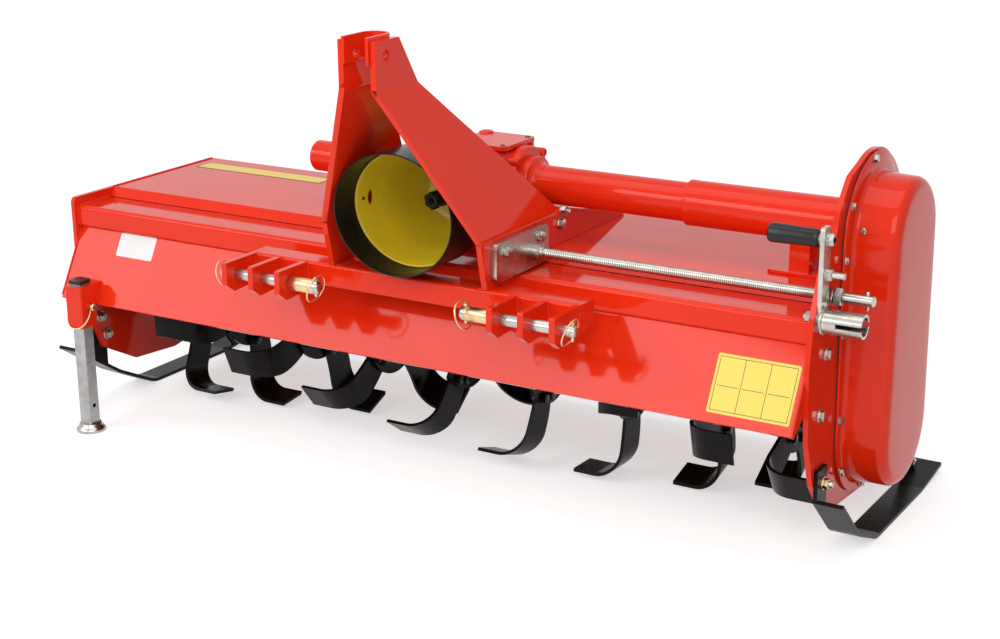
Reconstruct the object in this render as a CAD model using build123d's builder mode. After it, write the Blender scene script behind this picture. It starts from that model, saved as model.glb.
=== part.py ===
"""Rotavator (tractor-mounted rotary tiller) with a side-shifting three-point headstock.

Millimetres, +Z up, ground at Z = 0.  +X is the side of the gear case, -Y the side of the tractor.
The hood, rotor, gear case, skids and parking leg form the tiller; the mast, gearbox and hitch bar
form the headstock, which slides along X on the front beam and is set by a screw.
"""
import os

from build123d import *

os.makedirs("parts", exist_ok=True)

# ---------------------------------------------------------------- driving dimensions
# Hood
hood_width = 1720  # between the side plates
side_plate_t = 10
sheet_t = 6
deck_top_z = 502
deck_rear = 209  # behind the rotor's axis
deck_front = 136  # ahead of the rotor's axis, where the deck steps down to the beam
deck_step_run = 18
deck_lip = 32
beam_front = 255
beam_depth = 105
beam_top_z = 483
beam_height = 48
beam_wall = 5
beam_corner_r = 9
panel_foot_front = 326
panel_foot_z = 289
panel_lip = 14
cheek_depth = 70  # of the panel's triangular cheeks, below the beam
cheek_back = 40  # of the cheeks, behind the beam

# Side plates: heights of the outline's corners and how far ahead (+) or behind they stand
plate_rim = 10  # ahead of the beam
plate_corner_r = 12
plate_knee_z = 391
plate_waist_front = 252
plate_waist_z = 250
plate_chin_front = 208
plate_chin_z = 140
plate_toe_front = 105
plate_toe_z = 84
plate_sole_back = 30
plate_sole_z = 74
plate_heel_back = 120
plate_heel_z = 88
plate_calf_back = 205
plate_calf_z = 170
plate_tail_back = 262
plate_tail_z = 300
plate_rear_rim = 6  # behind the deck
plate_flange_rim = 5  # round the top of the gear case's flange
# The right plate is wider at the front and carries the gear case above the deck
right_top_front = 35  # where the outline leaves the round top
right_temple_front = 118
right_temple_rise = 125  # above the gear case's upper centre, as the next three
right_crown_front = 166
right_crown_rise = 73
right_neck_front = 176
right_neck_rise = 37
right_shoulder_front = 222
right_shoulder_rise = 9
right_brow_front = 268
right_brow_z = 490
right_knee_front = 281
right_waist_front = 269
right_waist_z = 258
right_chin_front = 238
right_chin_z = 168
right_toe_front = 200
right_toe_z = 122

# Rotor
rotor_z = 224
tip_r = 218
rotor_tube_r = 38
rotor_wall = 6
flange_r = 92
flange_t = 8
flange_count = 9
blade_side_gap = 8.5  # between the end blades' wings and the side plates
inner_flange_pitch = 197  # of all but the end flanges, which stand closer
blade_t = 7
blade_w = 72
blade_reach = 100  # sideways reach of a blade's wing from its flange
blade_bend_r = 52
blade_root_r = 52
blade_lean = 24  # degrees between the blade's arm and the radius
blade_helix = 16.5  # degrees of turn from one flange to the next
first_blade_angle = -11
blade_sets = ("left", "middle", "right")
journal_r = 20
journal_gap = 0.05
bearing_r = 62
bearing_len = 34
bearing_cap_r = 50
bearing_cap_t = 24
rotor_end_gap = 6

# Gear case, on the +X side plate
shaft_back = 30  # the cross shaft's axis ahead of the rotor's axis
shaft_z = 606
case_top_back = 0  # the case's upper centre, behind the rotor's axis
case_top_z = 587
case_flange_r = 150  # round the upper centre
case_low_flange_r = 140  # round the rotor's axis
case_flange_t = 4
case_r = 112
case_low_r = 119
case_depth = 91
case_wall = 5
case_edge_r = 20
gear_clear = 8
gear_count = 3

# Cross shaft's telescopic tubes
outer_tube_r = 44
inner_tube_r = 38
tube_slide_gap = 0.3
outer_tube_len = 340
tube_overlap = 67  # of the inner tube in the outer one
tube_collar_r = 62
tube_collar_t = 12
tube_bracket_inset = 102  # its middle from the right side plate
tube_bracket_w = 40
tube_bracket_depth = 68
stub_tube_r = 33
stub_tube_len = 408

# Headstock
head_offset = 82  # the mast's middle plane from the hood's middle plane
front_reach = 500  # from the rotor's axis to the front of the mast
mast_t = 12
mast_tab_half = 41  # outer face of a mast plate's upper tab
mast_base_half = 181  # outer face of a mast plate's base
mast_top_z = 945
mast_tab_height = 90
mast_foot_z = 568
mast_foot_front = 356
mast_foot_lean = 20
mast_waist_front = 89
mast_waist_rise = 12  # above the mast's foot
mast_rear_front = 361
mast_tail_back = 195
mast_tail_h = 6
mast_tab_depth = 76
mast_bend_r = 18
mast_slide_gap = 0.4
top_hole_drop = 28  # below the mast's top
top_hole_back = 33
top_hole_r = 9.7
strap_t = 6
strap_height = 50
strap_rise = 7
strap_len = 60
bar_front = 355
bar_depth = 55
bar_bottom_z = 430
bar_top_z = 476
bar_wall = 6
ear_t = 12
ear_pitch = 65
ear_mid = 305
ear_front = 448
ear_bottom_z = 414
pin_front = 415
pin_z = 447
pin_r = 11
pin_fit = 0.1
pin_head_r = 14
pin_inner = 161
pin_outer = 403

# Gearbox on the headstock
box_len = 132
box_left = 36  # from the mast's middle plane to the box's -X wall
box_half = 74
box_corner_r = 16
nose_r = 58
nose_len = 70
cover_t = 14
stub_r = 17.4
stub_tip_front = 265
stub_groove_depth = 2.4
stub_groove_w = 4.2
stub_groove_count = 6
stub_journal_r = 20
stub_journal_proud = 8  # past the nose's front face
seal_gap = 0.05

# Drive guard
guard_front = 400
guard_len = 120
guard_half_w = 133
guard_half_h = 118
guard_t = 4
cone_rim_back = 65
cone_t = 3
cone_neck_len = 30
cone_slot_w = 9
cone_slot_l = 34

# Side-shift screw
screw_front = 203
screw_z = 517
screw_r = 10
screw_gap = 0.4
screw_end_len = 84
screw_inner_len = 34
adjuster_t = 14
adjuster_len = 196
adjuster_height = 74
adjuster_front = 345
adjuster_rise = 8  # its middle above the screw's axis
adjuster_corner_r = 14
screw_collar_r = 17
screw_collar_t = 13
nut_r = 17.3
nut_t = 13
cross_pin_r = 3
cross_pin_len = 34
cross_pin_inset = 13

# Crank stowed on the +X side plate
crank_front = 241
crank_top_z = 650
crank_bottom_z = 462
crank_w = 32
crank_t = 8
grip_r = 18
grip_len = 94
grip_z = 628
socket_r = 22
socket_wall = 5
socket_len = 74
socket_z = 482
socket_slot_w = 8
socket_slot_len = 46
crank_stud_r = 6
crank_stud_z = 566
crank_stud_len = 34

# Skids
skid_w = 58
skid_t = 8
skid_fronts = (280, 232)  # front tips of the left and right skid
skid_front_heights = (150, 138)
skid_knee_fronts = (150, 140)
skid_knee_heights = (62, 50)
skid_bend = 36
skid_flat_end = 230
rear_reach = 350  # from the rotor's axis to the rear tip of a skid
skid_rear_z = 18
skid_bend_r = 80
skid_tab_t = 8
skid_tab_w = 46
skid_tab_front = 233
skid_tab_top_z = 196
skid_arm_back = 155  # front edge of the rear arm's head
skid_arm_bottom_z = 150
skid_arm_top_z = 205
skid_lug_back = 318
skid_lug_w = 56
skid_lug_z = 42

# Parking leg
leg_inset = 80  # from the hood's -X end
leg_front = 349
leg_w = 31
leg_wall = 3
leg_sleeve_w = 46
leg_slide_gap = 0.3
leg_sleeve_top_z = 335
leg_sleeve_bottom_z = 243
leg_top_z = 340
leg_cap_t = 8
leg_foot_r = 32
leg_foot_t = 6
leg_cup_r = 24
leg_cup_h = 12
leg_hole_r = 5
leg_hole_pitch = 230
leg_first_hole_z = 60
leg_hole_count = 2

# Rear levelling board
board_side_gap = 8
board_hinge_back = 232
board_hinge_z = 476
board_t = 5
board_bend_back = 268
board_bend_z = 300
board_foot_back = 300
board_foot_z = 120
board_lip = 26
hinge_pin_r = 6
hinge_gap = 0.1
knuckle_r = 13
knuckle_len = 46
knuckle_side_gap = 0.4
hinge_inset = 220  # of a hinge's middle, from the hood's end

# ---------------------------------------------------------------- worked-out places
half_hood = hood_width / 2
plate_out = half_hood + side_plate_t  # outer faces of the side plates
case_out = plate_out + case_depth
skid_out = plate_out + skid_w
mid_x = (skid_out - case_out) / 2  # the hood's middle plane
rotor_y = (front_reach - rear_reach) / 2
head_x = mid_x + head_offset
shaft_y = rotor_y - shaft_back
beam_rear = beam_front - beam_depth
beam_bottom_z = beam_top_z - beam_height
left_in = mid_x - half_hood
right_in = mid_x + half_hood
left_out = mid_x - plate_out
right_out = mid_x + plate_out
wing_reach = blade_reach + (flange_t + blade_t) / 2
end_flange_reach = half_hood - wing_reach - blade_side_gap  # from the hood's middle plane
inner_flange_reach = (flange_count - 3) / 2 * inner_flange_pitch
inner_flanges = [flange_i * inner_flange_pitch - inner_flange_reach for flange_i in range(flange_count - 2)]
flange_places = [-end_flange_reach, *inner_flanges, end_flange_reach]
mast_bend_z = mast_top_z - mast_tab_height
top_hole_z = mast_top_z - top_hole_drop
inner_tube_x = head_x - box_left + box_len + 2 * tube_collar_t
plate_top_r = case_flange_r + plate_flange_rim
right_top_z = case_top_z + (plate_top_r**2 - (right_top_front + case_top_back)**2) ** 0.5
inner_tube_len = right_in - outer_tube_len + tube_overlap - inner_tube_x
skid_tail_slope = (skid_rear_z - skid_t / 2) / (rear_reach - skid_flat_end)
skid_tip_back = rear_reach - skid_t / 2 * skid_tail_slope


def at(back, z):
    """Point of a Y-Z profile, `back` mm behind the rotor's axis."""
    return (rotor_y + back, z)


def save(piece, name):
    """Label a finished piece and write its STEP file."""
    piece.label = name
    export_step(piece, f"parts/{name}.step")


def yz_plane(x):
    """Sketch plane facing +X at `x`, its own X along +Y and its Y along +Z."""
    return Plane(origin=(x, 0, 0), x_dir=(0, 1, 0), z_dir=(1, 0, 0))


def xz_plane(y):
    """Sketch plane facing -Y at `y`, its own X along +X and its Y along +Z."""
    return Plane(origin=(0, y, 0), x_dir=(1, 0, 0), z_dir=(0, -1, 0))


# ---------------------------------------------------------------- hood
# Deck: flat sheet with a rear lip and a sloped step down onto the beam
with BuildPart() as hood_deck:
    with BuildSketch(yz_plane(left_in)):
        with BuildLine():
            Polyline(
                at(deck_rear, deck_top_z - deck_lip),
                at(deck_rear, deck_top_z),
                at(-deck_front, deck_top_z),
                at(-deck_front - deck_step_run, beam_top_z),
                at(-deck_front - deck_step_run + sheet_t * 1.4, beam_top_z),
                at(-deck_front + sheet_t * 0.4, deck_top_z - sheet_t),
                at(deck_rear - sheet_t, deck_top_z - sheet_t),
                at(deck_rear - sheet_t, deck_top_z - deck_lip),
                close=True,
            )
        make_face()
    extrude(amount=hood_width)
save(hood_deck.part, "hood_deck")

# Beam: rounded rectangular tube along the front, closed by the side plates
with BuildPart() as front_beam:
    with BuildSketch(yz_plane(left_in)):
        with Locations(at(-beam_front + beam_depth / 2, beam_top_z - beam_height / 2)):
            RectangleRounded(beam_depth, beam_height, beam_corner_r)
            RectangleRounded(
                beam_depth - 2 * beam_wall,
                beam_height - 2 * beam_wall,
                beam_corner_r - beam_wall,
                mode=Mode.SUBTRACT,
            )
    extrude(amount=hood_width)
save(front_beam.part, "front_beam")

# Panel: sloped front sheet with a turned-in foot and a triangular cheek at each end
panel_top_front = beam_front - beam_corner_r
with BuildPart() as front_panel:
    with BuildSketch(yz_plane(left_in)):
        with BuildLine():
            Polyline(
                at(-panel_top_front, beam_bottom_z),
                at(-panel_foot_front, panel_foot_z),
                at(-panel_foot_front + panel_lip, panel_foot_z - panel_lip / 2),
                at(-panel_foot_front + panel_lip, panel_foot_z - panel_lip / 2 + sheet_t),
                at(-panel_foot_front + sheet_t * 1.3, panel_foot_z + sheet_t / 2),
                at(-panel_top_front + sheet_t * 1.12, beam_bottom_z),
                close=True,
            )
        make_face()
    extrude(amount=hood_width)
    for cheek_x in (left_in, right_in - sheet_t):
        with BuildSketch(yz_plane(cheek_x)):
            with BuildLine():
                Polyline(
                    at(-panel_top_front, beam_bottom_z),
                    at(-panel_foot_front, panel_foot_z),
                    at(-panel_foot_front + panel_lip, panel_foot_z - panel_lip / 2),
                    at(-beam_rear - cheek_back, beam_bottom_z - cheek_depth),
                    at(-beam_rear - cheek_back, beam_bottom_z),
                    close=True,
                )
            make_face()
        extrude(amount=sheet_t)
save(front_panel.part, "front_panel")

# Side plates: deep cheeks that carry the rotor's bearings
plate_tail = (
    at(-plate_toe_front, plate_toe_z),
    at(plate_sole_back, plate_sole_z),
    at(plate_heel_back, plate_heel_z),
    at(plate_calf_back, plate_calf_z),
    at(plate_tail_back, plate_tail_z),
    at(deck_rear + plate_rear_rim, deck_top_z),
)
with BuildPart() as side_plate_left:
    with BuildSketch(yz_plane(left_out)):
        with BuildLine():
            FilletPolyline(
                at(-beam_front - plate_rim, deck_top_z),
                at(-beam_front - plate_rim, plate_knee_z),
                at(-plate_waist_front, plate_waist_z),
                at(-plate_chin_front, plate_chin_z),
                *plate_tail,
                radius=plate_corner_r,
                close=True,
            )
        make_face()
        with Locations(at(0, rotor_z)):
            Circle(bearing_cap_r, mode=Mode.SUBTRACT)
    extrude(amount=side_plate_t)
save(side_plate_left.part, "side_plate_left")

with BuildPart() as side_plate_right:
    with BuildSketch(yz_plane(right_in)):
        with BuildLine():
            FilletPolyline(
                at(-right_top_front, right_top_z),
                at(-right_temple_front, case_top_z + right_temple_rise),
                at(-right_crown_front, case_top_z + right_crown_rise),
                at(-right_neck_front, case_top_z + right_neck_rise),
                at(-right_shoulder_front, case_top_z + right_shoulder_rise),
                at(-right_brow_front, right_brow_z),
                at(-right_knee_front, plate_knee_z),
                at(-right_waist_front, right_waist_z),
                at(-right_chin_front, right_chin_z),
                at(-right_toe_front, right_toe_z),
                *plate_tail,
                at(case_top_back + plate_top_r, case_top_z),
                radius=plate_corner_r,
                close=True,
            )
        make_face()
        with Locations(at(case_top_back, case_top_z)):
            Circle(plate_top_r)
        with Locations(at(-shaft_back, shaft_z)):
            Circle(outer_tube_r - sheet_t, mode=Mode.SUBTRACT)
        with Locations(at(0, rotor_z)):
            Circle(bearing_cap_r, mode=Mode.SUBTRACT)
        with Locations(at(-screw_front, screw_z)):
            Circle(screw_r + screw_gap, mode=Mode.SUBTRACT)
    extrude(amount=side_plate_t)
save(side_plate_right.part, "side_plate_right")


# ---------------------------------------------------------------- gear case
def case_outline(top_r, low_r):
    """Hull of a circle round the case's upper centre and one round the rotor's axis, in the open sketch."""
    with Locations(at(case_top_back, case_top_z)):
        Circle(top_r)
    with Locations(at(0, rotor_z)):
        Circle(low_r)
    make_hull()


with BuildPart() as gear_case:
    with BuildSketch(yz_plane(right_out)):
        case_outline(case_r, case_low_r)
    extrude(amount=case_depth)
    fillet(gear_case.faces().sort_by(Axis.X)[-1].edges(), case_edge_r)
    with BuildSketch(yz_plane(right_out)):
        case_outline(case_flange_r, case_low_flange_r)
    extrude(amount=case_flange_t)
    with BuildSketch(yz_plane(right_out)):
        case_outline(case_r - case_wall, case_low_r - case_wall)
    extrude(amount=case_depth - case_wall - case_edge_r / 2, mode=Mode.SUBTRACT)
    with BuildSketch(yz_plane(right_out)):
        case_outline(case_r - case_edge_r, case_low_r - case_edge_r)
    extrude(amount=case_depth - case_wall, mode=Mode.SUBTRACT)
save(gear_case.part, "gear_case")

# Gears: plain discs in one column on a back web, inside the closed case
gear_gap_y = case_top_back / (gear_count - 1)
gear_gap_z = (case_top_z - rotor_z) / (gear_count - 1)
gear_r = case_r - case_wall - gear_clear
with BuildPart() as gear_train:
    for gear_i in range(gear_count):
        with BuildSketch(yz_plane(right_out)):
            with Locations(at(gear_gap_y * gear_i, rotor_z + gear_gap_z * gear_i)):
                Circle(gear_r)
        extrude(amount=case_depth / 2)
save(gear_train.part, "gear_train")

# ---------------------------------------------------------------- cross tubes
with BuildPart() as outer_tube:
    with BuildSketch(yz_plane(right_in - outer_tube_len)):
        with Locations(at(-shaft_back, shaft_z)):
            Circle(outer_tube_r)
            Circle(inner_tube_r + tube_slide_gap, mode=Mode.SUBTRACT)
    extrude(amount=outer_tube_len)
save(outer_tube.part, "outer_tube")

bracket_x = right_in - tube_bracket_inset
bracket_top_z = shaft_z - outer_tube_r + 12
with BuildPart() as tube_bracket:
    with BuildSketch(yz_plane(bracket_x - tube_bracket_w / 2)):
        with Locations(at(-shaft_back, (deck_top_z + bracket_top_z) / 2)):
            Rectangle(tube_bracket_depth, bracket_top_z - deck_top_z)
        with Locations(at(-shaft_back, shaft_z)):
            Circle(outer_tube_r, mode=Mode.SUBTRACT)
    extrude(amount=tube_bracket_w)
save(tube_bracket.part, "tube_bracket")

with BuildPart() as inner_tube:
    with BuildSketch(yz_plane(inner_tube_x)):
        with Locations(at(-shaft_back, shaft_z)):
            Circle(inner_tube_r)
            Circle(inner_tube_r - beam_wall, mode=Mode.SUBTRACT)
    extrude(amount=inner_tube_len)
save(inner_tube.part, "inner_tube")

with BuildPart() as stub_tube:
    with BuildSketch(yz_plane(head_x - box_left - stub_tube_len)):
        with Locations(at(-shaft_back, shaft_z)):
            Circle(stub_tube_r)
    extrude(amount=stub_tube_len)
    fillet(stub_tube.faces().sort_by(Axis.X)[0].edges(), 5)
    with BuildSketch(yz_plane(head_x - box_left)):
        with Locations(at(-shaft_back, shaft_z)):
            Circle(stub_tube_r - beam_wall)
    extrude(amount=-(stub_tube_len - beam_wall - 3), mode=Mode.SUBTRACT)
save(stub_tube.part, "stub_tube")

# ---------------------------------------------------------------- gearbox
box_mid_x = head_x - box_left + box_len / 2
with BuildPart() as gearbox:
    with Locations((box_mid_x, shaft_y, shaft_z)):
        Box(box_len, 2 * box_half, 2 * box_half)
    fillet(gearbox.edges().filter_by(Axis.X), box_corner_r)
    with BuildSketch(xz_plane(shaft_y - box_half)):
        with Locations((head_x, shaft_z)):
            Circle(nose_r)
    extrude(amount=nose_len)
    with BuildSketch(yz_plane(head_x - box_left + box_len)):
        with Locations(at(-shaft_back, shaft_z)):
            Circle(box_half + 3)
    extrude(amount=tube_collar_t)
    with BuildSketch(yz_plane(head_x - box_left + box_len + tube_collar_t)):
        with Locations(at(-shaft_back, shaft_z)):
            Circle(tube_collar_r)
    extrude(amount=tube_collar_t)
    with BuildSketch(xz_plane(shaft_y - box_half - nose_len)):
        with Locations((head_x, shaft_z)):
            Circle(stub_journal_r + seal_gap)
    extrude(amount=-nose_len, mode=Mode.SUBTRACT)
save(gearbox.part, "gearbox")

with BuildPart() as gearbox_cover:
    with BuildSketch(Plane.XY.offset(shaft_z + box_half)):
        with Locations((box_mid_x, shaft_y)):
            RectangleRounded(box_len - 8, 2 * box_half - 2 * box_corner_r, 14)
    extrude(amount=cover_t)
save(gearbox_cover.part, "gearbox_cover")

# Splined drive stub: a plain journal turning in the gearbox's nose, then the spline
stub_root_y = shaft_y - box_half - nose_len - stub_journal_proud
stub_tip_y = rotor_y - stub_tip_front
with BuildPart() as pto_stub:
    with BuildSketch(xz_plane(shaft_y - box_half)):
        with Locations((head_x, shaft_z)):
            Circle(stub_journal_r)
    extrude(amount=nose_len + stub_journal_proud)
    with BuildSketch(xz_plane(stub_root_y)):
        with Locations((head_x, shaft_z)):
            Circle(stub_r)
    extrude(amount=stub_root_y - stub_tip_y)
    chamfer(pto_stub.faces().sort_by(Axis.Y)[0].edges(), 2)
    with BuildSketch(xz_plane(stub_root_y)):
        with Locations((head_x, shaft_z)):
            with PolarLocations(stub_r, stub_groove_count):
                Rectangle(2 * stub_groove_depth, stub_groove_w)
    extrude(amount=stub_root_y - stub_tip_y, mode=Mode.SUBTRACT)
save(pto_stub.part, "pto_stub")

# ---------------------------------------------------------------- drive guard
guard_y = rotor_y - guard_front
cone_rim_y = guard_y + cone_rim_back
with BuildPart() as guard_drum:
    with BuildSketch(xz_plane(guard_y + guard_len)):
        with Locations((head_x, shaft_z)):
            Ellipse(guard_half_w, guard_half_h)
            Ellipse(guard_half_w - guard_t, guard_half_h - guard_t, mode=Mode.SUBTRACT)
    extrude(amount=guard_len)
save(guard_drum.part, "guard_drum")

cone_half_w = guard_half_w - guard_t
cone_half_h = guard_half_h - guard_t
cone_neck_y = shaft_y - box_half - nose_len + 16


def cone_body(shrink):
    """Funnel from the drum's inside down to the gearbox's nose, `shrink` mm smaller all round."""
    with BuildPart() as funnel:
        with BuildSketch(xz_plane(cone_rim_y)):
            with Locations((head_x, shaft_z)):
                Ellipse(cone_half_w - shrink, cone_half_h - shrink)
        with BuildSketch(xz_plane(cone_neck_y)):
            with Locations((head_x, shaft_z)):
                Circle(nose_r + cone_t - shrink)
        loft()
    return funnel.part


cone_outside = cone_body(0)
cone_inside = cone_body(cone_t)
with BuildPart() as guard_cone:
    add(cone_outside)
    add(cone_inside, mode=Mode.SUBTRACT)
    with BuildSketch(xz_plane(cone_neck_y)):
        with Locations((head_x, shaft_z)):
            Circle(nose_r + cone_t)
            Circle(nose_r, mode=Mode.SUBTRACT)
    extrude(amount=-cone_neck_len)
    with BuildSketch(xz_plane(cone_rim_y)):
        with Locations((head_x - cone_half_w * 0.82, shaft_z)):
            SlotOverall(cone_slot_l, cone_slot_w, rotation=90)
    extrude(amount=-90, mode=Mode.SUBTRACT)
save(guard_cone.part, "guard_cone")


# ---------------------------------------------------------------- mast
mast_front = front_reach - 5
tab_rear = mast_front - mast_tab_depth


def mast_plate(side, name):
    """Bent mast plate: upright tab, flared middle and upright base; side is -1 or +1."""
    tab_x = head_x + side * (mast_tab_half - mast_t / 2)
    base_x = head_x + side * (mast_base_half - mast_t / 2)
    with BuildPart() as mast:
        with BuildSketch(xz_plane(rotor_y + mast_tail_back)):
            with BuildLine() as bend_line:
                FilletPolyline(
                    (tab_x, mast_top_z),
                    (tab_x, mast_bend_z),
                    (base_x, mast_foot_z),
                    (base_x, bar_top_z),
                    radius=mast_bend_r,
                )
            trace(bend_line.line, line_width=mast_t)
        extrude(amount=mast_tail_back + mast_front)
        with BuildSketch(yz_plane(head_x - mast_base_half)):
            with BuildLine():
                Polyline(
                    at(-mast_front, mast_top_z),
                    at(-mast_front, mast_bend_z),
                    at(-mast_foot_front - mast_foot_lean, mast_foot_z),
                    at(-mast_foot_front, bar_top_z),
                    at(-beam_rear, bar_top_z),
                    at(-beam_rear, deck_top_z + mast_slide_gap),
                    at(mast_tail_back, deck_top_z + mast_slide_gap),
                    at(mast_tail_back, deck_top_z + mast_tail_h),
                    at(-mast_waist_front, mast_foot_z + mast_waist_rise),
                    at(-mast_rear_front, mast_bend_z),
                    at(-tab_rear, mast_top_z),
                    close=True,
                )
            make_face()
        extrude(amount=2 * mast_base_half, mode=Mode.INTERSECT)
        with BuildSketch(yz_plane(head_x - mast_base_half)):
            with BuildLine():
                Polyline(
                    at(-beam_front - 2, bar_top_z - 1),
                    at(-beam_front - 2, beam_top_z + mast_slide_gap),
                    at(-deck_front - deck_step_run - 4, beam_top_z + mast_slide_gap),
                    at(-deck_front - 2, deck_top_z + mast_slide_gap + 1),
                    at(-beam_rear + 20, deck_top_z + mast_slide_gap),
                    at(-beam_rear + 20, bar_top_z - 1),
                    close=True,
                )
            make_face()
        extrude(amount=2 * mast_base_half, mode=Mode.SUBTRACT)
        with BuildSketch(yz_plane(head_x - mast_base_half)):
            with Locations(at(-mast_front + top_hole_back, top_hole_z)):
                Circle(top_hole_r)
        extrude(amount=2 * mast_base_half, mode=Mode.SUBTRACT)
        if side > 0:
            with BuildSketch(yz_plane(head_x)):
                with Locations(at(-screw_front, screw_z)):
                    Circle(screw_r + screw_gap)
            extrude(amount=mast_base_half, mode=Mode.SUBTRACT)
    save(mast.part, name)


mast_plate(-1, "mast_left")
mast_plate(1, "mast_right")

# Strap: U open to the front, between the two tabs
strap_r = mast_tab_half - mast_t
strap_top_z = mast_top_z + strap_rise
with BuildPart() as mast_strap:
    with BuildSketch(Plane.XY.offset(strap_top_z - strap_height)):
        with BuildLine() as strap_line:
            strap_y = rotor_y - front_reach
            left_leg = Line((head_x - strap_r + strap_t / 2, strap_y),
                            (head_x - strap_r + strap_t / 2, strap_y + strap_len))
            strap_bow = RadiusArc(left_leg @ 1, (head_x + strap_r - strap_t / 2, strap_y + strap_len),
                                  strap_r - strap_t / 2)
            Line(strap_bow @ 1, (head_x + strap_r - strap_t / 2, strap_y))
        trace(strap_line.line, line_width=strap_t)
    extrude(amount=strap_height)
    with BuildSketch(yz_plane(head_x - strap_r)):
        with Locations(at(-mast_front + top_hole_back, top_hole_z)):
            Circle(top_hole_r)
    extrude(amount=2 * strap_r, mode=Mode.SUBTRACT)
save(mast_strap.part, "mast_strap")

# ---------------------------------------------------------------- hitch bar, ears and pins
bar_half = ear_mid + ear_pitch - ear_t / 2
with BuildPart() as hitch_bar:
    with BuildSketch(yz_plane(head_x - bar_half)):
        with Locations(at(-bar_front + bar_depth / 2, (bar_bottom_z + bar_top_z) / 2)):
            RectangleRounded(bar_depth, bar_top_z - bar_bottom_z, bar_wall)
            Rectangle(bar_depth - 2 * bar_wall, bar_top_z - bar_bottom_z - 2 * bar_wall, mode=Mode.SUBTRACT)
    extrude(amount=2 * bar_half)
save(hitch_bar.part, "hitch_bar")


def ear(left_x, rear):
    """One ear, from its rounded nose back to `rear`, with the pin's hole."""
    with BuildPart() as one_ear:
        with BuildSketch(yz_plane(left_x)):
            with BuildLine():
                FilletPolyline(
                    at(-rear, bar_top_z),
                    at(-ear_front, bar_top_z),
                    at(-ear_front, ear_bottom_z + 16),
                    at(-ear_front + 22, ear_bottom_z),
                    at(-bar_front - 6, ear_bottom_z + 4),
                    at(-rear, bar_bottom_z),
                    radius=4,
                    close=True,
                )
            make_face()
            with Locations(at(-pin_front, pin_z)):
                Circle(pin_r + pin_fit, mode=Mode.SUBTRACT)
        extrude(amount=ear_t)
    return one_ear.part


for side, side_name in ((-1, "left"), (1, "right")):
    ears = []
    for step in (-1, 0, 1):
        ear_rear = bar_front - bar_depth if step == 1 else bar_front
        ears.append(ear(head_x + side * (ear_mid + step * ear_pitch) - ear_t / 2, ear_rear))
    with BuildPart() as hitch_ears:
        add(ears)
    save(hitch_ears.part, f"hitch_ears_{side_name}")

    inner_face = ear_mid - ear_pitch - ear_t / 2
    with BuildPart() as hitch_pin:
        with BuildSketch(yz_plane(head_x + side * pin_inner)):
            with Locations(at(-pin_front, pin_z)):
                Circle(pin_head_r)
        extrude(amount=side * (inner_face - pin_inner))
        with BuildSketch(yz_plane(head_x + side * inner_face)):
            with Locations(at(-pin_front, pin_z)):
                Circle(pin_r)
        extrude(amount=side * (pin_outer - inner_face))
        ends = hitch_pin.faces().filter_by(Axis.X).sort_by(Axis.X)
        chamfer([edge for end in (ends[0], ends[-1]) for edge in end.edges()], 3)
    save(hitch_pin.part, f"hitch_pin_{side_name}")

# ---------------------------------------------------------------- side-shift screw
adjuster_x = head_x + mast_base_half
with BuildPart() as adjuster_plate:
    with BuildSketch(yz_plane(adjuster_x)):
        with Locations(at(-adjuster_front + adjuster_len / 2, screw_z + adjuster_rise)):
            RectangleRounded(adjuster_len, adjuster_height, adjuster_corner_r)
    extrude(amount=adjuster_t)
    with BuildSketch(yz_plane(adjuster_x + adjuster_t)):
        with Locations(at(-screw_front, screw_z)):
            Circle(screw_collar_r)
    extrude(amount=screw_collar_t)
    with BuildSketch(yz_plane(adjuster_x)):
        with Locations(at(-screw_front, screw_z)):
            Circle(screw_r + screw_gap)
    extrude(amount=adjuster_t + screw_collar_t, mode=Mode.SUBTRACT)
save(adjuster_plate.part, "adjuster_plate")

screw_start = adjuster_x - screw_inner_len
screw_end = right_out + screw_end_len
with BuildPart() as shift_screw:
    with BuildSketch(yz_plane(screw_start)):
        with Locations(at(-screw_front, screw_z)):
            Circle(screw_r)
    extrude(amount=screw_end - screw_start)
    chamfer(shift_screw.faces().filter_by(Axis.X).edges(), 1.5)
    for nut_x in (right_out, right_out + nut_t + 1, right_in - nut_t):
        with BuildSketch(yz_plane(nut_x)):
            with Locations(at(-screw_front, screw_z)):
                RegularPolygon(nut_r, 6)
        extrude(amount=nut_t)
    with BuildSketch(Plane.XY.offset(screw_z - cross_pin_len / 2)):
        with Locations((screw_end - cross_pin_inset, rotor_y - screw_front)):
            Circle(cross_pin_r)
    extrude(amount=cross_pin_len)
save(shift_screw.part, "shift_screw")

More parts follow.
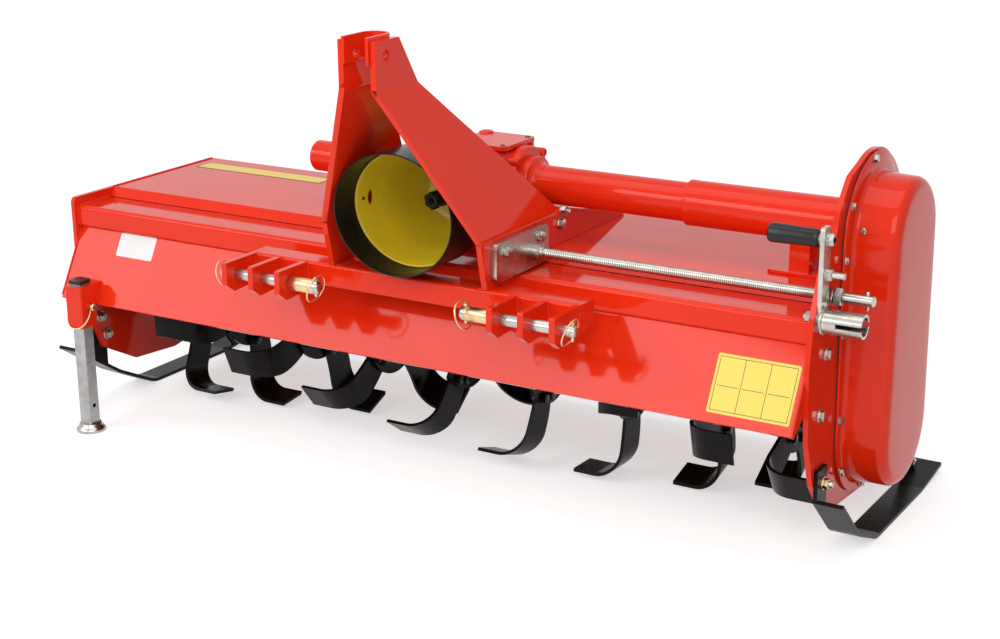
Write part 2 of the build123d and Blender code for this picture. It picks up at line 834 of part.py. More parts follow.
# ---------------------------------------------------------------- crank
crank_y = rotor_y - crank_front
with BuildPart() as crank_arm:
    with BuildSketch(yz_plane(right_out)):
        with BuildLine():
            FilletPolyline(
                (crank_y - crank_w / 2, crank_bottom_z),
                (crank_y + crank_w / 2, crank_bottom_z),
                (crank_y + crank_w / 2, crank_top_z),
                (crank_y - crank_w / 2, crank_top_z),
                radius=6,
                close=True,
            )
        make_face()
    extrude(amount=crank_t)
    with BuildSketch(yz_plane(right_out - grip_len - 4)):
        with Locations((crank_y, grip_z)):
            Circle(crank_stud_r)
    extrude(amount=grip_len + 4 + crank_t + 12)
    with BuildSketch(yz_plane(right_out + crank_t)):
        with Locations((crank_y, grip_z), (crank_y, crank_stud_z)):
            RegularPolygon(11, 6)
    extrude(amount=9)
    with BuildSketch(yz_plane(right_out)):
        with Locations((crank_y, crank_stud_z)):
            Circle(crank_stud_r)
    extrude(amount=crank_t + crank_stud_len)
    with BuildSketch(yz_plane(right_out + crank_t)):
        with Locations((crank_y, socket_z)):
            Circle(socket_r)
            Circle(socket_r - socket_wall, mode=Mode.SUBTRACT)
    extrude(amount=socket_len)
    with BuildSketch(yz_plane(right_out + crank_t + socket_len - socket_slot_len)):
        with Locations((crank_y, socket_z)):
            Rectangle(2 * socket_r + 2, socket_slot_w)
    extrude(amount=socket_slot_len, mode=Mode.SUBTRACT)
save(crank_arm.part, "crank_arm")

with BuildPart() as crank_grip:
    with BuildSketch(yz_plane(right_out - grip_len - 6)):
        with Locations((crank_y, grip_z)):
            Circle(grip_r)
            Circle(crank_stud_r, mode=Mode.SUBTRACT)
    extrude(amount=grip_len)
    fillet(crank_grip.faces().sort_by(Axis.X)[0].edges().sort_by(SortBy.LENGTH)[-1], 5)
save(crank_grip.part, "crank_grip")


# ---------------------------------------------------------------- skids
def skid(side, front, front_z, knee, knee_z, name):
    """Runner strip beside a side plate, with a front tab and a rear arm bolted to the plate."""
    inner = mid_x + side * plate_out
    strip_start = min(inner, inner + side * skid_w)
    tab_start = min(inner, inner + side * skid_tab_t)
    slope = (front_z - knee_z) / (front - knee)
    tab_heel = skid_tab_front - skid_tab_w
    with BuildPart() as runner:
        with BuildSketch(yz_plane(strip_start)):
            with BuildLine() as run:
                FilletPolyline(
                    at(-front, front_z),
                    at(-knee, knee_z),
                    at(-skid_bend, skid_t / 2),
                    at(skid_flat_end, skid_t / 2),
                    at(skid_tip_back, skid_rear_z),
                    radius=skid_bend_r,
                )
            trace(run.line, line_width=skid_t)
        extrude(amount=skid_w)
        with BuildSketch(yz_plane(tab_start)):
            with BuildLine():
                Polyline(
                    at(-skid_tab_front, knee_z + slope * (skid_tab_front - knee)),
                    at(-skid_tab_front, skid_tab_top_z),
                    at(-tab_heel, skid_tab_top_z),
                    at(-tab_heel, knee_z + slope * (tab_heel - knee)),
                    close=True,
                )
            make_face()
            with BuildLine():
                Polyline(
                    at(skid_arm_back, skid_arm_top_z),
                    at(skid_arm_back + skid_tab_w, skid_arm_top_z),
                    at(skid_lug_back, skid_lug_z),
                    at(skid_lug_back, skid_t),
                    at(skid_lug_back - skid_lug_w, skid_t),
                    at(skid_arm_back, skid_arm_bottom_z),
                    close=True,
                )
            make_face()
        extrude(amount=skid_tab_t)
    save(runner.part, name)


for skid_i, (side, side_name) in enumerate(((-1, "left"), (1, "right"))):
    skid(side, skid_fronts[skid_i], skid_front_heights[skid_i], skid_knee_fronts[skid_i],
         skid_knee_heights[skid_i], f"skid_{side_name}")

# ---------------------------------------------------------------- parking leg
leg_mid_x = left_in + leg_inset
leg_y = rotor_y - leg_front
panel_slope = (panel_foot_front - panel_top_front) / (beam_bottom_z - panel_foot_z)
sleeve_back = leg_front - leg_sleeve_w / 2
with BuildPart() as leg_sleeve:
    with BuildSketch(Plane.XY.offset(leg_sleeve_bottom_z)):
        with Locations((leg_mid_x, leg_y)):
            RectangleRounded(leg_sleeve_w, leg_sleeve_w, 4)
    extrude(amount=leg_sleeve_top_z - leg_sleeve_bottom_z)
    with BuildSketch(yz_plane(leg_mid_x - leg_sleeve_w / 2 + 4)):
        with BuildLine():
            Polyline(
                at(-sleeve_back - 2, panel_foot_z + 2),
                at(-sleeve_back - 2, leg_sleeve_top_z),
                at(-panel_foot_front + panel_slope * (leg_sleeve_top_z - panel_foot_z), leg_sleeve_top_z),
                at(-panel_foot_front + panel_slope * 2, panel_foot_z + 2),
                close=True,
            )
        make_face()
    extrude(amount=leg_sleeve_w - 8)
    with BuildSketch(Plane.XY.offset(leg_sleeve_bottom_z)):
        with Locations((leg_mid_x, leg_y)):
            Rectangle(leg_w + 2 * leg_slide_gap, leg_w + 2 * leg_slide_gap)
    extrude(amount=leg_sleeve_top_z - leg_sleeve_bottom_z, mode=Mode.SUBTRACT)
save(leg_sleeve.part, "leg_sleeve")

with BuildPart() as leg_tube:
    with BuildSketch(Plane.XY.offset(leg_foot_t)):
        with Locations((leg_mid_x, leg_y)):
            RectangleRounded(leg_w, leg_w, 3)
            Rectangle(leg_w - 2 * leg_wall, leg_w - 2 * leg_wall, mode=Mode.SUBTRACT)
    extrude(amount=leg_top_z - leg_foot_t)
    with BuildSketch(yz_plane(leg_mid_x - leg_w)):
        for hole_i in range(leg_hole_count):
            with Locations((leg_y, leg_first_hole_z + hole_i * leg_hole_pitch)):
                Circle(leg_hole_r)
    extrude(amount=2 * leg_w, mode=Mode.SUBTRACT)
    with BuildSketch():
        with Locations((leg_mid_x, leg_y)):
            Circle(leg_foot_r)
    extrude(amount=leg_foot_t)
    with BuildSketch(Plane.XY.offset(leg_foot_t)):
        with Locations((leg_mid_x, leg_y)):
            Circle(leg_cup_r)
            Rectangle(leg_w - 2, leg_w - 2, mode=Mode.SUBTRACT)
    extrude(amount=leg_cup_h)
save(leg_tube.part, "leg_tube")

with BuildPart() as leg_cap:
    with BuildSketch(Plane.XY.offset(leg_top_z)):
        with Locations((leg_mid_x, leg_y)):
            RectangleRounded(leg_w + 4, leg_w + 4, 4)
    extrude(amount=leg_cap_t)
save(leg_cap.part, "leg_cap")

# ---------------------------------------------------------------- rotor
tube_half = half_hood - bearing_len - rotor_end_gap
with BuildPart() as rotor_tube:
    with BuildSketch(yz_plane(mid_x - tube_half)):
        with Locations(at(0, rotor_z)):
            Circle(rotor_tube_r)
            Circle(rotor_tube_r - rotor_wall, mode=Mode.SUBTRACT)
    extrude(amount=2 * tube_half)
    for end in (-1, 1):
        with BuildSketch(yz_plane(mid_x + end * (tube_half - 40))):
            with Locations(at(0, rotor_z)):
                Circle(rotor_tube_r)
        extrude(amount=end * 40)
        with BuildSketch(yz_plane(mid_x + end * tube_half)):
            with Locations(at(0, rotor_z)):
                Circle(journal_r)
        extrude(amount=end * (rotor_end_gap + bearing_len))
    for flange_place in flange_places:
        with BuildSketch(yz_plane(mid_x + flange_place - flange_t / 2)):
            with Locations(at(0, rotor_z)):
                Circle(flange_r)
                Circle(rotor_tube_r - rotor_wall / 2, mode=Mode.SUBTRACT)
        extrude(amount=flange_t)
save(rotor_tube.part, "rotor_tube")


def chord_depth(radius, half_chord):
    """Distance from the axis to a chord's middle, for a chord end that lies at `radius`."""
    return (radius**2 - half_chord**2) ** 0.5


def blade_solid():
    """Blade in its own frame: arm up +Z from the hub, wing bent towards +X, edge leading to -Y."""
    arm_top = chord_depth(tip_r - 1, blade_w * 0.8)
    with BuildPart() as blade:
        with BuildSketch(xz_plane(blade_w)):
            with BuildLine() as bend:
                FilletPolyline(
                    (0, blade_root_r),
                    (0, arm_top - blade_t / 2),
                    (blade_reach, arm_top - blade_t / 2),
                    radius=blade_bend_r,
                )
            trace(bend.line, line_width=blade_t)
        extrude(amount=2 * blade_w)
        with BuildSketch(yz_plane(-blade_t)):
            with BuildLine():
                hub_back = Line((28, blade_root_r - 1), (-28, blade_root_r - 1))
                lead = ThreePointArc(hub_back @ 1, (-38, arm_top * 0.62), (-10, arm_top + 2))
                wing_top = Line(lead @ 1, (blade_w * 0.8, arm_top + 2))
                ThreePointArc(wing_top @ 1, (34, arm_top * 0.62), hub_back @ 0)
            make_face()
        extrude(amount=blade_reach + 2 * blade_t, mode=Mode.INTERSECT)
    return blade.part


right_blade = blade_solid()
left_blade = mirror(right_blade, about=Plane.YZ)
flanges_per_set = flange_count // len(blade_sets)
for set_i, set_name in enumerate(blade_sets):
    with BuildPart() as blades:
        for flange_i in range(set_i * flanges_per_set, (set_i + 1) * flanges_per_set):
            turn = first_blade_angle + flange_i * blade_helix
            for blade_i in range(4):
                hand = 1 if blade_i % 2 == 0 else -1
                blade = right_blade if hand > 0 else left_blade
                blade_x = mid_x + flange_places[flange_i] + hand * (flange_t + blade_t) / 2
                add(Location((blade_x, rotor_y, rotor_z), (turn + 90 * blade_i, 0, 0)) * blade)
    save(blades.part, f"blades_{set_name}")


# Rotor bearings: a flanged housing inside each side plate, its cap set in the plate's hole
def bearing(side, name):
    inner = mid_x + side * half_hood
    with BuildPart() as housing:
        with BuildSketch(yz_plane(inner)):
            with Locations(at(0, rotor_z)):
                Circle(bearing_r)
                Circle(journal_r + journal_gap, mode=Mode.SUBTRACT)
        extrude(amount=-side * bearing_len)
        with BuildSketch(yz_plane(inner)):
            with Locations(at(0, rotor_z)):
                Circle(bearing_cap_r)
        extrude(amount=side * (side_plate_t if side > 0 else bearing_cap_t))
    save(housing.part, name)


bearing(-1, "bearing_left")
bearing(1, "bearing_right")

# ---------------------------------------------------------------- rear levelling board
board_half = half_hood - board_side_gap
with BuildPart() as tail_board:
    with BuildSketch(yz_plane(mid_x - board_half)):
        with BuildLine() as board_line:
            FilletPolyline(
                at(board_hinge_back, board_hinge_z - knuckle_r + 2),
                at(board_bend_back, board_bend_z),
                at(board_foot_back, board_foot_z),
                at(board_foot_back + board_lip, board_foot_z - board_lip / 2),
                radius=20,
            )
        trace(board_line.line, line_width=board_t)
    extrude(amount=2 * board_half)
    for hinge_side in (-1, 1):
        for step in (-1, 1):
            knuckle_x = mid_x + hinge_side * (half_hood - hinge_inset) + step * knuckle_len
            with BuildSketch(yz_plane(knuckle_x - knuckle_len / 2)):
                with Locations(at(board_hinge_back, board_hinge_z)):
                    Circle(knuckle_r)
                    Circle(hinge_pin_r + hinge_gap, mode=Mode.SUBTRACT)
            extrude(amount=knuckle_len)
save(tail_board.part, "tail_board")

with BuildPart() as tail_hinges:
    for hinge_side in (-1, 1):
        hinge_mid = mid_x + hinge_side * (half_hood - hinge_inset)
        half_knuckle = knuckle_len / 2 - knuckle_side_gap
        with BuildSketch(yz_plane(hinge_mid - half_knuckle)):
            with Locations(at(board_hinge_back, board_hinge_z)):
                Circle(knuckle_r - 3)
            with Locations(at((board_hinge_back + deck_rear) / 2, board_hinge_z + 2)):
                Rectangle(board_hinge_back - deck_rear, 12)
        extrude(amount=2 * half_knuckle)
        with BuildSketch(yz_plane(hinge_mid - 1.5 * knuckle_len - 6)):
            with Locations(at(board_hinge_back, board_hinge_z)):
                Circle(hinge_pin_r)
        extrude(amount=3 * knuckle_len + 12)
save(tail_hinges.part, "tail_hinges")
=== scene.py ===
"""Looks of the rotavator: materials, fasteners, threads, welds, blank signs, floor, lamps, camera.

Metres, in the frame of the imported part.  Places are worked out from the boxes of the CAD nodes.
Profiles, and the sizes of fasteners, seams and signs, are in mm and turn into metres with `mm`.
"""
from math import asin, cos, pi, radians, sin

import bmesh
import bpy
from mathutils import Matrix, Vector


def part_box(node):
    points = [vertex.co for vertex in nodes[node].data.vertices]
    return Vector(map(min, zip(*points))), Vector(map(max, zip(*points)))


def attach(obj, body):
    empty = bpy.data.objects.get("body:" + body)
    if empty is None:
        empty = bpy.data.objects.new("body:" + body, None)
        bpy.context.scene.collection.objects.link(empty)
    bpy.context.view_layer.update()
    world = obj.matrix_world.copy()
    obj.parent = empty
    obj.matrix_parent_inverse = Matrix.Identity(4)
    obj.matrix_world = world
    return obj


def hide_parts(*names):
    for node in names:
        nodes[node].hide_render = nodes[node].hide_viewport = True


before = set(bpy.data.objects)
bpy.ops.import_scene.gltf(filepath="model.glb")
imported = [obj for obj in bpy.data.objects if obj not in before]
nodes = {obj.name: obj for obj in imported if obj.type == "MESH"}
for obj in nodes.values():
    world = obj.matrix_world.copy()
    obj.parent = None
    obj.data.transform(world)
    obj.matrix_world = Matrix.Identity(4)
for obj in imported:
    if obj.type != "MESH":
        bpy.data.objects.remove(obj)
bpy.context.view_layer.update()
mm = 0.001
X = Vector((1, 0, 0))
Y = Vector((0, 1, 0))
Z = Vector((0, 0, 1))


def circle_angles(count):
    """Angles of `count` equal steps round a circle."""
    return [2 * pi * k / count for k in range(count)]


def rounded(width, height, corner, steps):
    """Outline of a rectangle round (0, 0), with `steps` sides to each rounded corner."""
    outline = []
    for quarter, (side_u, side_v) in enumerate(((1, 1), (-1, 1), (-1, -1), (1, -1))):
        for k in range(steps + 1):
            a = radians(90 * (quarter + k / steps))
            outline.append((side_u * (width / 2 - corner) + corner * cos(a),
                            side_v * (height / 2 - corner) + corner * sin(a)))
    return outline


# -------- places
def middle(node):
    """Middle of a CAD node's box."""
    low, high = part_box(node)
    return (low + high) / 2


rotor = middle("rotor_tube")  # the rotor's axis
shaft = middle("outer_tube")  # the cross shaft's axis
head_x = middle("mast_strap").x
left_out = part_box("side_plate_left")[0].x
left_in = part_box("side_plate_left")[1].x
right_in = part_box("side_plate_right")[0].x
right_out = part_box("side_plate_right")[1].x
case_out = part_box("gear_case")[1].x
deck_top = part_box("hood_deck")[1].z
mast_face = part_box("mast_right")[1].x  # outer face of the right mast plate's base
skid_t = 8  # of the skids' arms and tabs on the side plates
right_skid = right_out + skid_t * mm
left_skid = left_out - skid_t * mm


def at(x, back, z):
    """Point at `x` metres, `back` mm behind the rotor's axis and `z` mm above the ground."""
    return Vector((x, rotor.y + back * mm, z * mm))


# -------- materials
tone_stops = (0.35, 0.65)  # of the noise, between which one tone turns into the other
second_tone = 0.93  # times the first, where none is given
gloss_scale = 4  # times the scale of the patches of tone
rough_spread = 1.35  # times the lowest roughness, where no highest is given


def put(node, **values):
    """Values of a node's inputs, by their names with _ for a space."""
    for name, value in values.items():
        node.inputs[name.replace("_", " ")].default_value = value


def noise(kit, links, coords, scale, detail=2.0):
    """Noise texture in object space."""
    tex = kit.new("ShaderNodeTexNoise")
    put(tex, Scale=scale, Detail=detail)
    links.new(coords.outputs["Object"], tex.inputs["Vector"])
    return tex


def surface(name, colour, rough, metallic=0.0, other=None, patch=5.0, rough_to=None, grain=700.0,
            bump=0.03, depth=0.0004, ior=1.5):
    """Procedural surface: two tones in soft patches, uneven gloss and a fine relief."""
    mat = bpy.data.materials.new(name)
    mat.use_nodes = True
    kit, links = mat.node_tree.nodes, mat.node_tree.links
    bsdf = kit["Principled BSDF"]
    coords = kit.new("ShaderNodeTexCoord")
    patches = noise(kit, links, coords, patch, 3.0)
    ramp = kit.new("ShaderNodeValToRGB")
    tones = (colour, other or [c * second_tone for c in colour])
    for stop, place, tone in zip(ramp.color_ramp.elements, tone_stops, tones):
        stop.position = place
        stop.color = (*tone, 1)
    links.new(patches.outputs["Fac"], ramp.inputs["Fac"])
    links.new(ramp.outputs["Color"], bsdf.inputs["Base Color"])
    gloss = noise(kit, links, coords, patch * gloss_scale)
    spread = kit.new("ShaderNodeMapRange")
    put(spread, To_Min=rough, To_Max=rough * rough_spread if rough_to is None else rough_to)
    links.new(gloss.outputs["Fac"], spread.inputs["Value"])
    links.new(spread.outputs["Result"], bsdf.inputs["Roughness"])
    relief = noise(kit, links, coords, grain)
    dents = kit.new("ShaderNodeBump")
    put(dents, Strength=bump, Distance=depth)
    links.new(relief.outputs["Fac"], dents.inputs["Height"])
    links.new(dents.outputs["Normal"], bsdf.inputs["Normal"])
    put(bsdf, Metallic=metallic, IOR=ior)
    return mat


red = surface("red_gloss", (0.80, 0.028, 0.005), 0.07, other=(0.77, 0.026, 0.004), grain=260.0,
              bump=0.05, ior=1.3)
red_cast = surface("red_casting", (0.79, 0.028, 0.006), 0.16, other=(0.73, 0.025, 0.005),
                   grain=420.0, bump=0.35, depth=0.0006, ior=1.3)
black = surface("black_gloss", (0.007, 0.006, 0.006), 0.18, other=(0.011, 0.010, 0.009),
                rough_to=0.30, patch=14.0, grain=320.0, bump=0.12, ior=1.3)
black_cast = surface("black_forged", (0.004, 0.0035, 0.003), 0.20, other=(0.008, 0.007, 0.005),
                     rough_to=0.36, patch=22.0, grain=240.0, bump=0.22, ior=1.2)
rubber = surface("black_moulded", (0.009, 0.009, 0.009), 0.24, other=(0.012, 0.012, 0.012),
                 grain=900.0, bump=0.1, ior=1.35)
drum_black = surface("guard_black", (0.007, 0.006, 0.005), 0.24, other=(0.011, 0.010, 0.009),
                     rough_to=0.32, grain=900.0, bump=0.08, ior=1.3)
olive = surface("guard_olive", (0.62, 0.44, 0.014), 0.20, other=(0.56, 0.40, 0.014), rough_to=0.3,
                patch=7.0, grain=500.0, bump=0.08)
zinc = surface("zinc_bright", (0.50, 0.48, 0.44), 0.22, 1.0, other=(0.40, 0.385, 0.35),
               rough_to=0.32, patch=30.0, grain=900.0, bump=0.02)
gold = surface("zinc_yellow", (0.72, 0.52, 0.24), 0.24, 1.0, other=(0.62, 0.47, 0.30),
               rough_to=0.36, patch=60.0, grain=900.0, bump=0.08)
galvanised = surface("zinc_dipped", (0.40, 0.405, 0.40), 0.34, 1.0, other=(0.31, 0.31, 0.305),
                     rough_to=0.44, patch=60.0, grain=420.0, bump=0.1)
steel = surface("steel_dark", (0.10, 0.10, 0.105), 0.28, 1.0, other=(0.06, 0.06, 0.062),
                patch=40.0, grain=600.0, bump=0.1)
seal = surface("seal_dark", (0.02, 0.018, 0.018), 0.55)
# painted shade: a dark red standing for the shaded red parts seen through the funnel's holes
hole_shade_mat = surface("painted_hole_shade", (0.18, 0.004, 0.002), 0.60, ior=1.2)
yellow = surface("sign_yellow", (0.92, 0.66, 0.09), 0.30, other=(0.90, 0.64, 0.08), bump=0.02)
white = surface("plate_white", (0.78, 0.78, 0.76), 0.32, other=(0.74, 0.74, 0.73), bump=0.02)
sign_black = surface("sign_black", (0.012, 0.012, 0.012), 0.30, bump=0.02)


def new_object(name, data):
    """Object of `data`, linked to the scene."""
    obj = bpy.data.objects.new(name, data)
    bpy.context.scene.collection.objects.link(obj)
    return obj


# -------- mesh building
hex_rim = 0.94  # of a hexagon's half width, where its chamfer starts
hex_fall = 0.58  # of the chamfer, per mm outwards
bead_pitch = 3.2  # of a weld's ripples, in mm
smooth_below = 32  # degrees between faces, above which an edge is rounded


def frame_along(axis, spin=0.0):
    """Rotation whose third column is `axis`, turned by `spin` about it."""
    w = Vector(axis).normalized()
    side = Z if abs(w.z) < 0.9 else X
    u = side.cross(w).normalized()
    v = w.cross(u)
    turn = Matrix((u, v, w)).transposed()
    return turn @ Matrix.Rotation(spin, 3, "Z")


class Piece:
    """A mesh being built from rings of points."""

    def __init__(self):
        self.bm = bmesh.new()

    def ring(self, points):
        return [self.bm.verts.new(p) for p in points]

    def skin(self, rings, mat=0, closed=True):
        for a, b in zip(rings, rings[1:]):
            count = len(a)
            for i in range(count if closed else count - 1):
                j = (i + 1) % count
                self.bm.faces.new((a[i], a[j], b[j], b[i])).material_index = mat

    def cap(self, ring, mat=0):
        self.bm.faces.new(ring).material_index = mat

    def loft(self, rings, mat=0):
        self.skin(rings, mat)
        self.cap(rings[0], mat)
        self.cap(rings[-1], mat)

    def lathe(self, base, axis, profile, sides=40, mat=0, caps=(True, True)):
        """Turned shape: profile of (radius, distance along the axis) in mm."""
        turn = frame_along(axis)
        rings = [self.ring(base + turn @ Vector((r * mm * cos(a), r * mm * sin(a),
                                                 h * mm)) for a in circle_angles(sides))
                 for r, h in profile]
        self.skin(rings, mat)
        if caps[0]:
            self.cap(rings[0], mat)
        if caps[1]:
            self.cap(rings[-1], mat)

    def hexagon(self, base, axis, across, height, spin=0.0, hollow=0.0):
        """Hexagon head or nut with chamfered corners; a `hollow` radius in mm shows its bore."""
        turn = frame_along(axis, spin)
        flat = across / 2
        corner = flat / cos(radians(30))
        steps = 4  # of each side
        outline = []
        for side in range(6):
            ends = (radians(60 * side + k) for k in (-30, 30))
            p, q = (Vector((corner * cos(t), corner * sin(t))) for t in ends)
            outline += [p.lerp(q, k / steps) for k in range(steps)]
        rims = [p.normalized() * flat * hex_rim for p in outline]
        levels = [[(p.x, p.y, 0) for p in outline],
                  [(p.x, p.y, height - (p.length - flat * hex_rim) * hex_fall) for p in outline],
                  [(p.x, p.y, height) for p in rims]]
        rings = [self.ring(base + turn @ (Vector(p) * mm) for p in level) for level in levels]
        if hollow:
            for r, h in ((hollow + 0.8, height), (hollow, height - 0.8), (hollow, height - 2)):
                points = ((p.normalized() * r).to_3d() + Vector((0, 0, h)) for p in outline)
                rings.append(self.ring(base + turn @ (p * mm) for p in points))
        self.skin(rings)
        self.cap(rings[-1])
        self.cap(rings[0])

    def washer(self, base, axis, radius, thick):
        edge = ((radius - 0.5, 0), (radius, 0.4), (radius, thick - 0.5), (radius - 0.6, thick))
        self.lathe(base, axis, edge, 28)

    def bolt(self, base, axis, across=19, height=7.5, washer=12.0, thick=2.5, spin=0.3):
        """Hexagon head on its washer."""
        axis = Vector(axis).normalized()
        self.washer(base, axis, washer, thick)
        self.hexagon(base + axis * thick * mm, axis, across, height, spin)

    def nut(self, base, axis, across=19, height=10, washer=12.0, thick=2.5, stud=5.8, proud=6.0,
            spin=0.1):
        """Nut on its washer, with the end of its stud."""
        axis = Vector(axis).normalized()
        self.washer(base, axis, washer, thick)
        self.hexagon(base + axis * thick * mm, axis, across, height, spin, stud)
        tip = base + axis * (thick + height - 2) * mm
        end = ((stud - 0.2, 0), (stud - 0.2, proud + 1), (stud - 1.2, proud + 2))
        self.lathe(tip, axis, end, 20)

    def rod(self, points, radius, sides=10, closed=False, swell=None):
        """Round wire or bead along points in metres; `swell` gives a radius factor by point."""
        points = [Vector(p) for p in points]
        count = len(points)
        rings = []
        last = None
        for i, p in enumerate(points):
            before = points[i - 1] if i or closed else p
            after = points[(i + 1) % count] if i < count - 1 or closed else p
            along = (after - before).normalized()
            if last is None:
                u = along.orthogonal().normalized()
            else:
                u = (last - along * last.dot(along)).normalized()
            last = u
            v = along.cross(u)
            r = radius * mm * (swell(i) if swell else 1)
            rings.append(self.ring(p + (u * cos(a) + v * sin(a)) * r
                                   for a in circle_angles(sides)))
        if closed:
            self.skin(rings + rings[:1])
        else:
            self.loft(rings)

    def bead(self, points, radius=3.0):
        """Weld bead with its ripples, half sunk in the corner that it fills."""
        per_ripple = 4
        fine = []
        for a, b in zip(points, points[1:]):
            a, b = Vector(a), Vector(b)
            count = max(2, round((b - a).length / (bead_pitch * mm / per_ripple)))
            fine += [a.lerp(b, k / count) for k in range(count)]
        fine.append(Vector(points[-1]))
        self.rod(fine, radius, 8,
                 swell=lambda i: 0.86 + 0.14 * abs(sin(pi * i / per_ripple + 0.4)))

    def slab(self, outline, out, mat=0):
        """Prism from an outline in metres, pushed along `out`."""
        self.loft((self.ring(outline), self.ring(p + out for p in outline)), mat)

    def done(self, name, body, slot, *mats, replaces=(), bevel=0.0, sharp=35):
        """Object of the mesh, with its materials and its body; `slot` is not used."""
        bmesh.ops.recalc_face_normals(self.bm, faces=self.bm.faces)
        for face in self.bm.faces:
            face.smooth = True
        mesh = bpy.data.meshes.new(name)
        self.bm.to_mesh(mesh)
        self.bm.free()
        obj = new_object(name, mesh)
        for mat in mats:
            mesh.materials.append(mat)
        if bevel:
            soften(obj, bevel)
        else:
            mesh.set_sharp_from_angle(angle=radians(sharp))
        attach(obj, body)
        if replaces:
            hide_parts(*replaces)


def soften(obj, width, weld=False):
    """Round the sharp edges a little, and shade flats flat and curves smooth."""
    if weld:
        obj.modifiers.new("weld", "WELD").merge_threshold = 0.00002
    edge = obj.modifiers.new("edges", "BEVEL")
    edge.width = width * mm
    edge.segments = 2
    edge.limit_method = "ANGLE"
    edge.angle_limit = radians(smooth_below)
    edge.use_clamp_overlap = True
    obj.modifiers.new("normals", "WEIGHTED_NORMAL")


def dress(node, mat, edge=0.8):
    """Material and softened edges for a CAD node that stays."""
    obj = nodes[node]
    obj.data.materials[0] = mat
    obj.data.shade_smooth()
    soften(obj, edge, weld=True)


# -------- CAD nodes that stay
for node in ("hood_deck", "front_beam", "front_panel", "side_plate_left", "side_plate_right",
             "outer_tube", "tube_bracket", "inner_tube", "stub_tube", "mast_left", "mast_right",
             "mast_strap", "hitch_bar", "hitch_ears_left", "hitch_ears_right", "leg_sleeve",
             "bearing_left", "bearing_right", "tail_board"):
    dress(node, red, 1.0)
for node in ("rotor_tube", "blades_left", "blades_middle", "blades_right", "skid_left",
             "skid_right"):
    dress(node, black_cast)
for node in ("adjuster_plate", "crank_arm", "tail_hinges"):
    dress(node, zinc, 0.6)
dress("gear_train", steel)
dress("leg_cap", rubber)
dress("leg_tube", galvanised)


# -------- gear case
case_low, case_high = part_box("gear_case")
case_half = (case_high.y - case_low.y) / 2
case_top_z = case_high.z - case_half  # of the case's upper centre
case_rise = (case_top_z - rotor.z) / mm
case_depth = (case_out - right_out) / mm
flange_r = case_half / mm
flange_low_r = (rotor.z - case_low.z) / mm
flange_edge = 1.2
flange_face = 6.2  # outside the side plate
gasket_t = 2.0
case_wall_in = 37  # of the wall's foot from the flange's edge, round the top
low_wall_in = 20  # the same round the rotor's axis
wall_foot_r = 9
wall_lean = 3
edge_r = 20  # between the wall and the outer face
face_crown = 0.6


def stadium(x, top_r, low_r):
    """Closed outline at `x`, round the case's upper centre and the rotor's axis (radii in mm)."""
    arc = 36
    lean = asin((low_r - top_r) / case_rise)
    points = []
    for z, r, start, stop in ((case_top_z, top_r, lean, pi - lean),
                              (rotor.z, low_r, pi - lean, 2 * pi + lean)):
        for k in range(arc + 1):
            a = start + (stop - start) * k / arc
            points.append(Vector((x, rotor.y + r * mm * cos(a), z + r * mm * sin(a))))
    return points


# (distance in from the flange's edge, distance out from the side plate)
case_profile = [(flange_edge, gasket_t), (0.0, gasket_t + 1), (0.0, flange_face - flange_edge),
                (flange_edge, flange_face)]
case_profile += [(case_wall_in - wall_foot_r + wall_foot_r * sin(a),
                  flange_face + wall_foot_r - wall_foot_r * cos(a))
                 for a in (radians(15 * k) for k in range(7))]
case_profile += [(case_wall_in + wall_lean / 2, flange_face + 30),
                 (case_wall_in + wall_lean, case_depth - edge_r)]
case_profile += [(case_wall_in + wall_lean + edge_r * (1 - cos(a)),
                  case_depth - edge_r + (edge_r - face_crown) * sin(a))
                 for a in (radians(10 * k) for k in range(1, 10))]
case_profile += [(case_wall_in + 45, case_depth - face_crown / 2), (case_wall_in + 75, case_depth),
                 (flange_r - 6, case_depth)]
shell = Piece()
rings = []
for inset, out in case_profile:
    # the wall stands further in from the flange's edge round the top than round the rotor
    low_inset = inset - (case_wall_in - low_wall_in) * min(1, inset / case_wall_in)
    rings.append(shell.ring(stadium(right_out + out * mm, flange_r - inset,
                                    flange_low_r - low_inset)))
shell.skin(rings)
shell.cap(rings[-1])
shell.cap(rings[0])
shell.done("gear_case_shell", "frame", "red_paint", red, replaces=("gear_case",), sharp=50)
gasket = Piece()
gasket.skin([gasket.ring(stadium(right_out + out * mm, flange_r + grow, flange_low_r + grow))
             for grow, out in ((-6, 0.1), (-0.6, 0.1), (-0.6, gasket_t), (-6, gasket_t))])
gasket.done("gear_case_gasket", "frame", "black_plastic", seal)

case_bolt = dict(across=13, height=5.3, washer=8.5, thick=1.6)
case_bolt_in = 9  # from the flange's edge
case_face = right_out + flange_face * mm
case_bolts = Piece()
for centre_z, rim_r, degrees in ((case_top_z, flange_r, (97, 149, 31)),
                                 (rotor.z, flange_low_r, (213, 327, 270))):
    r = (rim_r - case_bolt_in) * mm
    for angle in degrees:
        a = radians(angle)
        spot = Vector((case_face, rotor.y + r * cos(a), centre_z + r * sin(a)))
        case_bolts.bolt(spot, X, spin=angle, **case_bolt)
for z in (566, 426, 262):
    half = (flange_low_r - case_bolt_in
            + (flange_r - flange_low_r) * (z - rotor.z / mm) / case_rise)
    for side in (-1, 1):
        case_bolts.bolt(at(case_face, side * half, z), X, spin=z, **case_bolt)
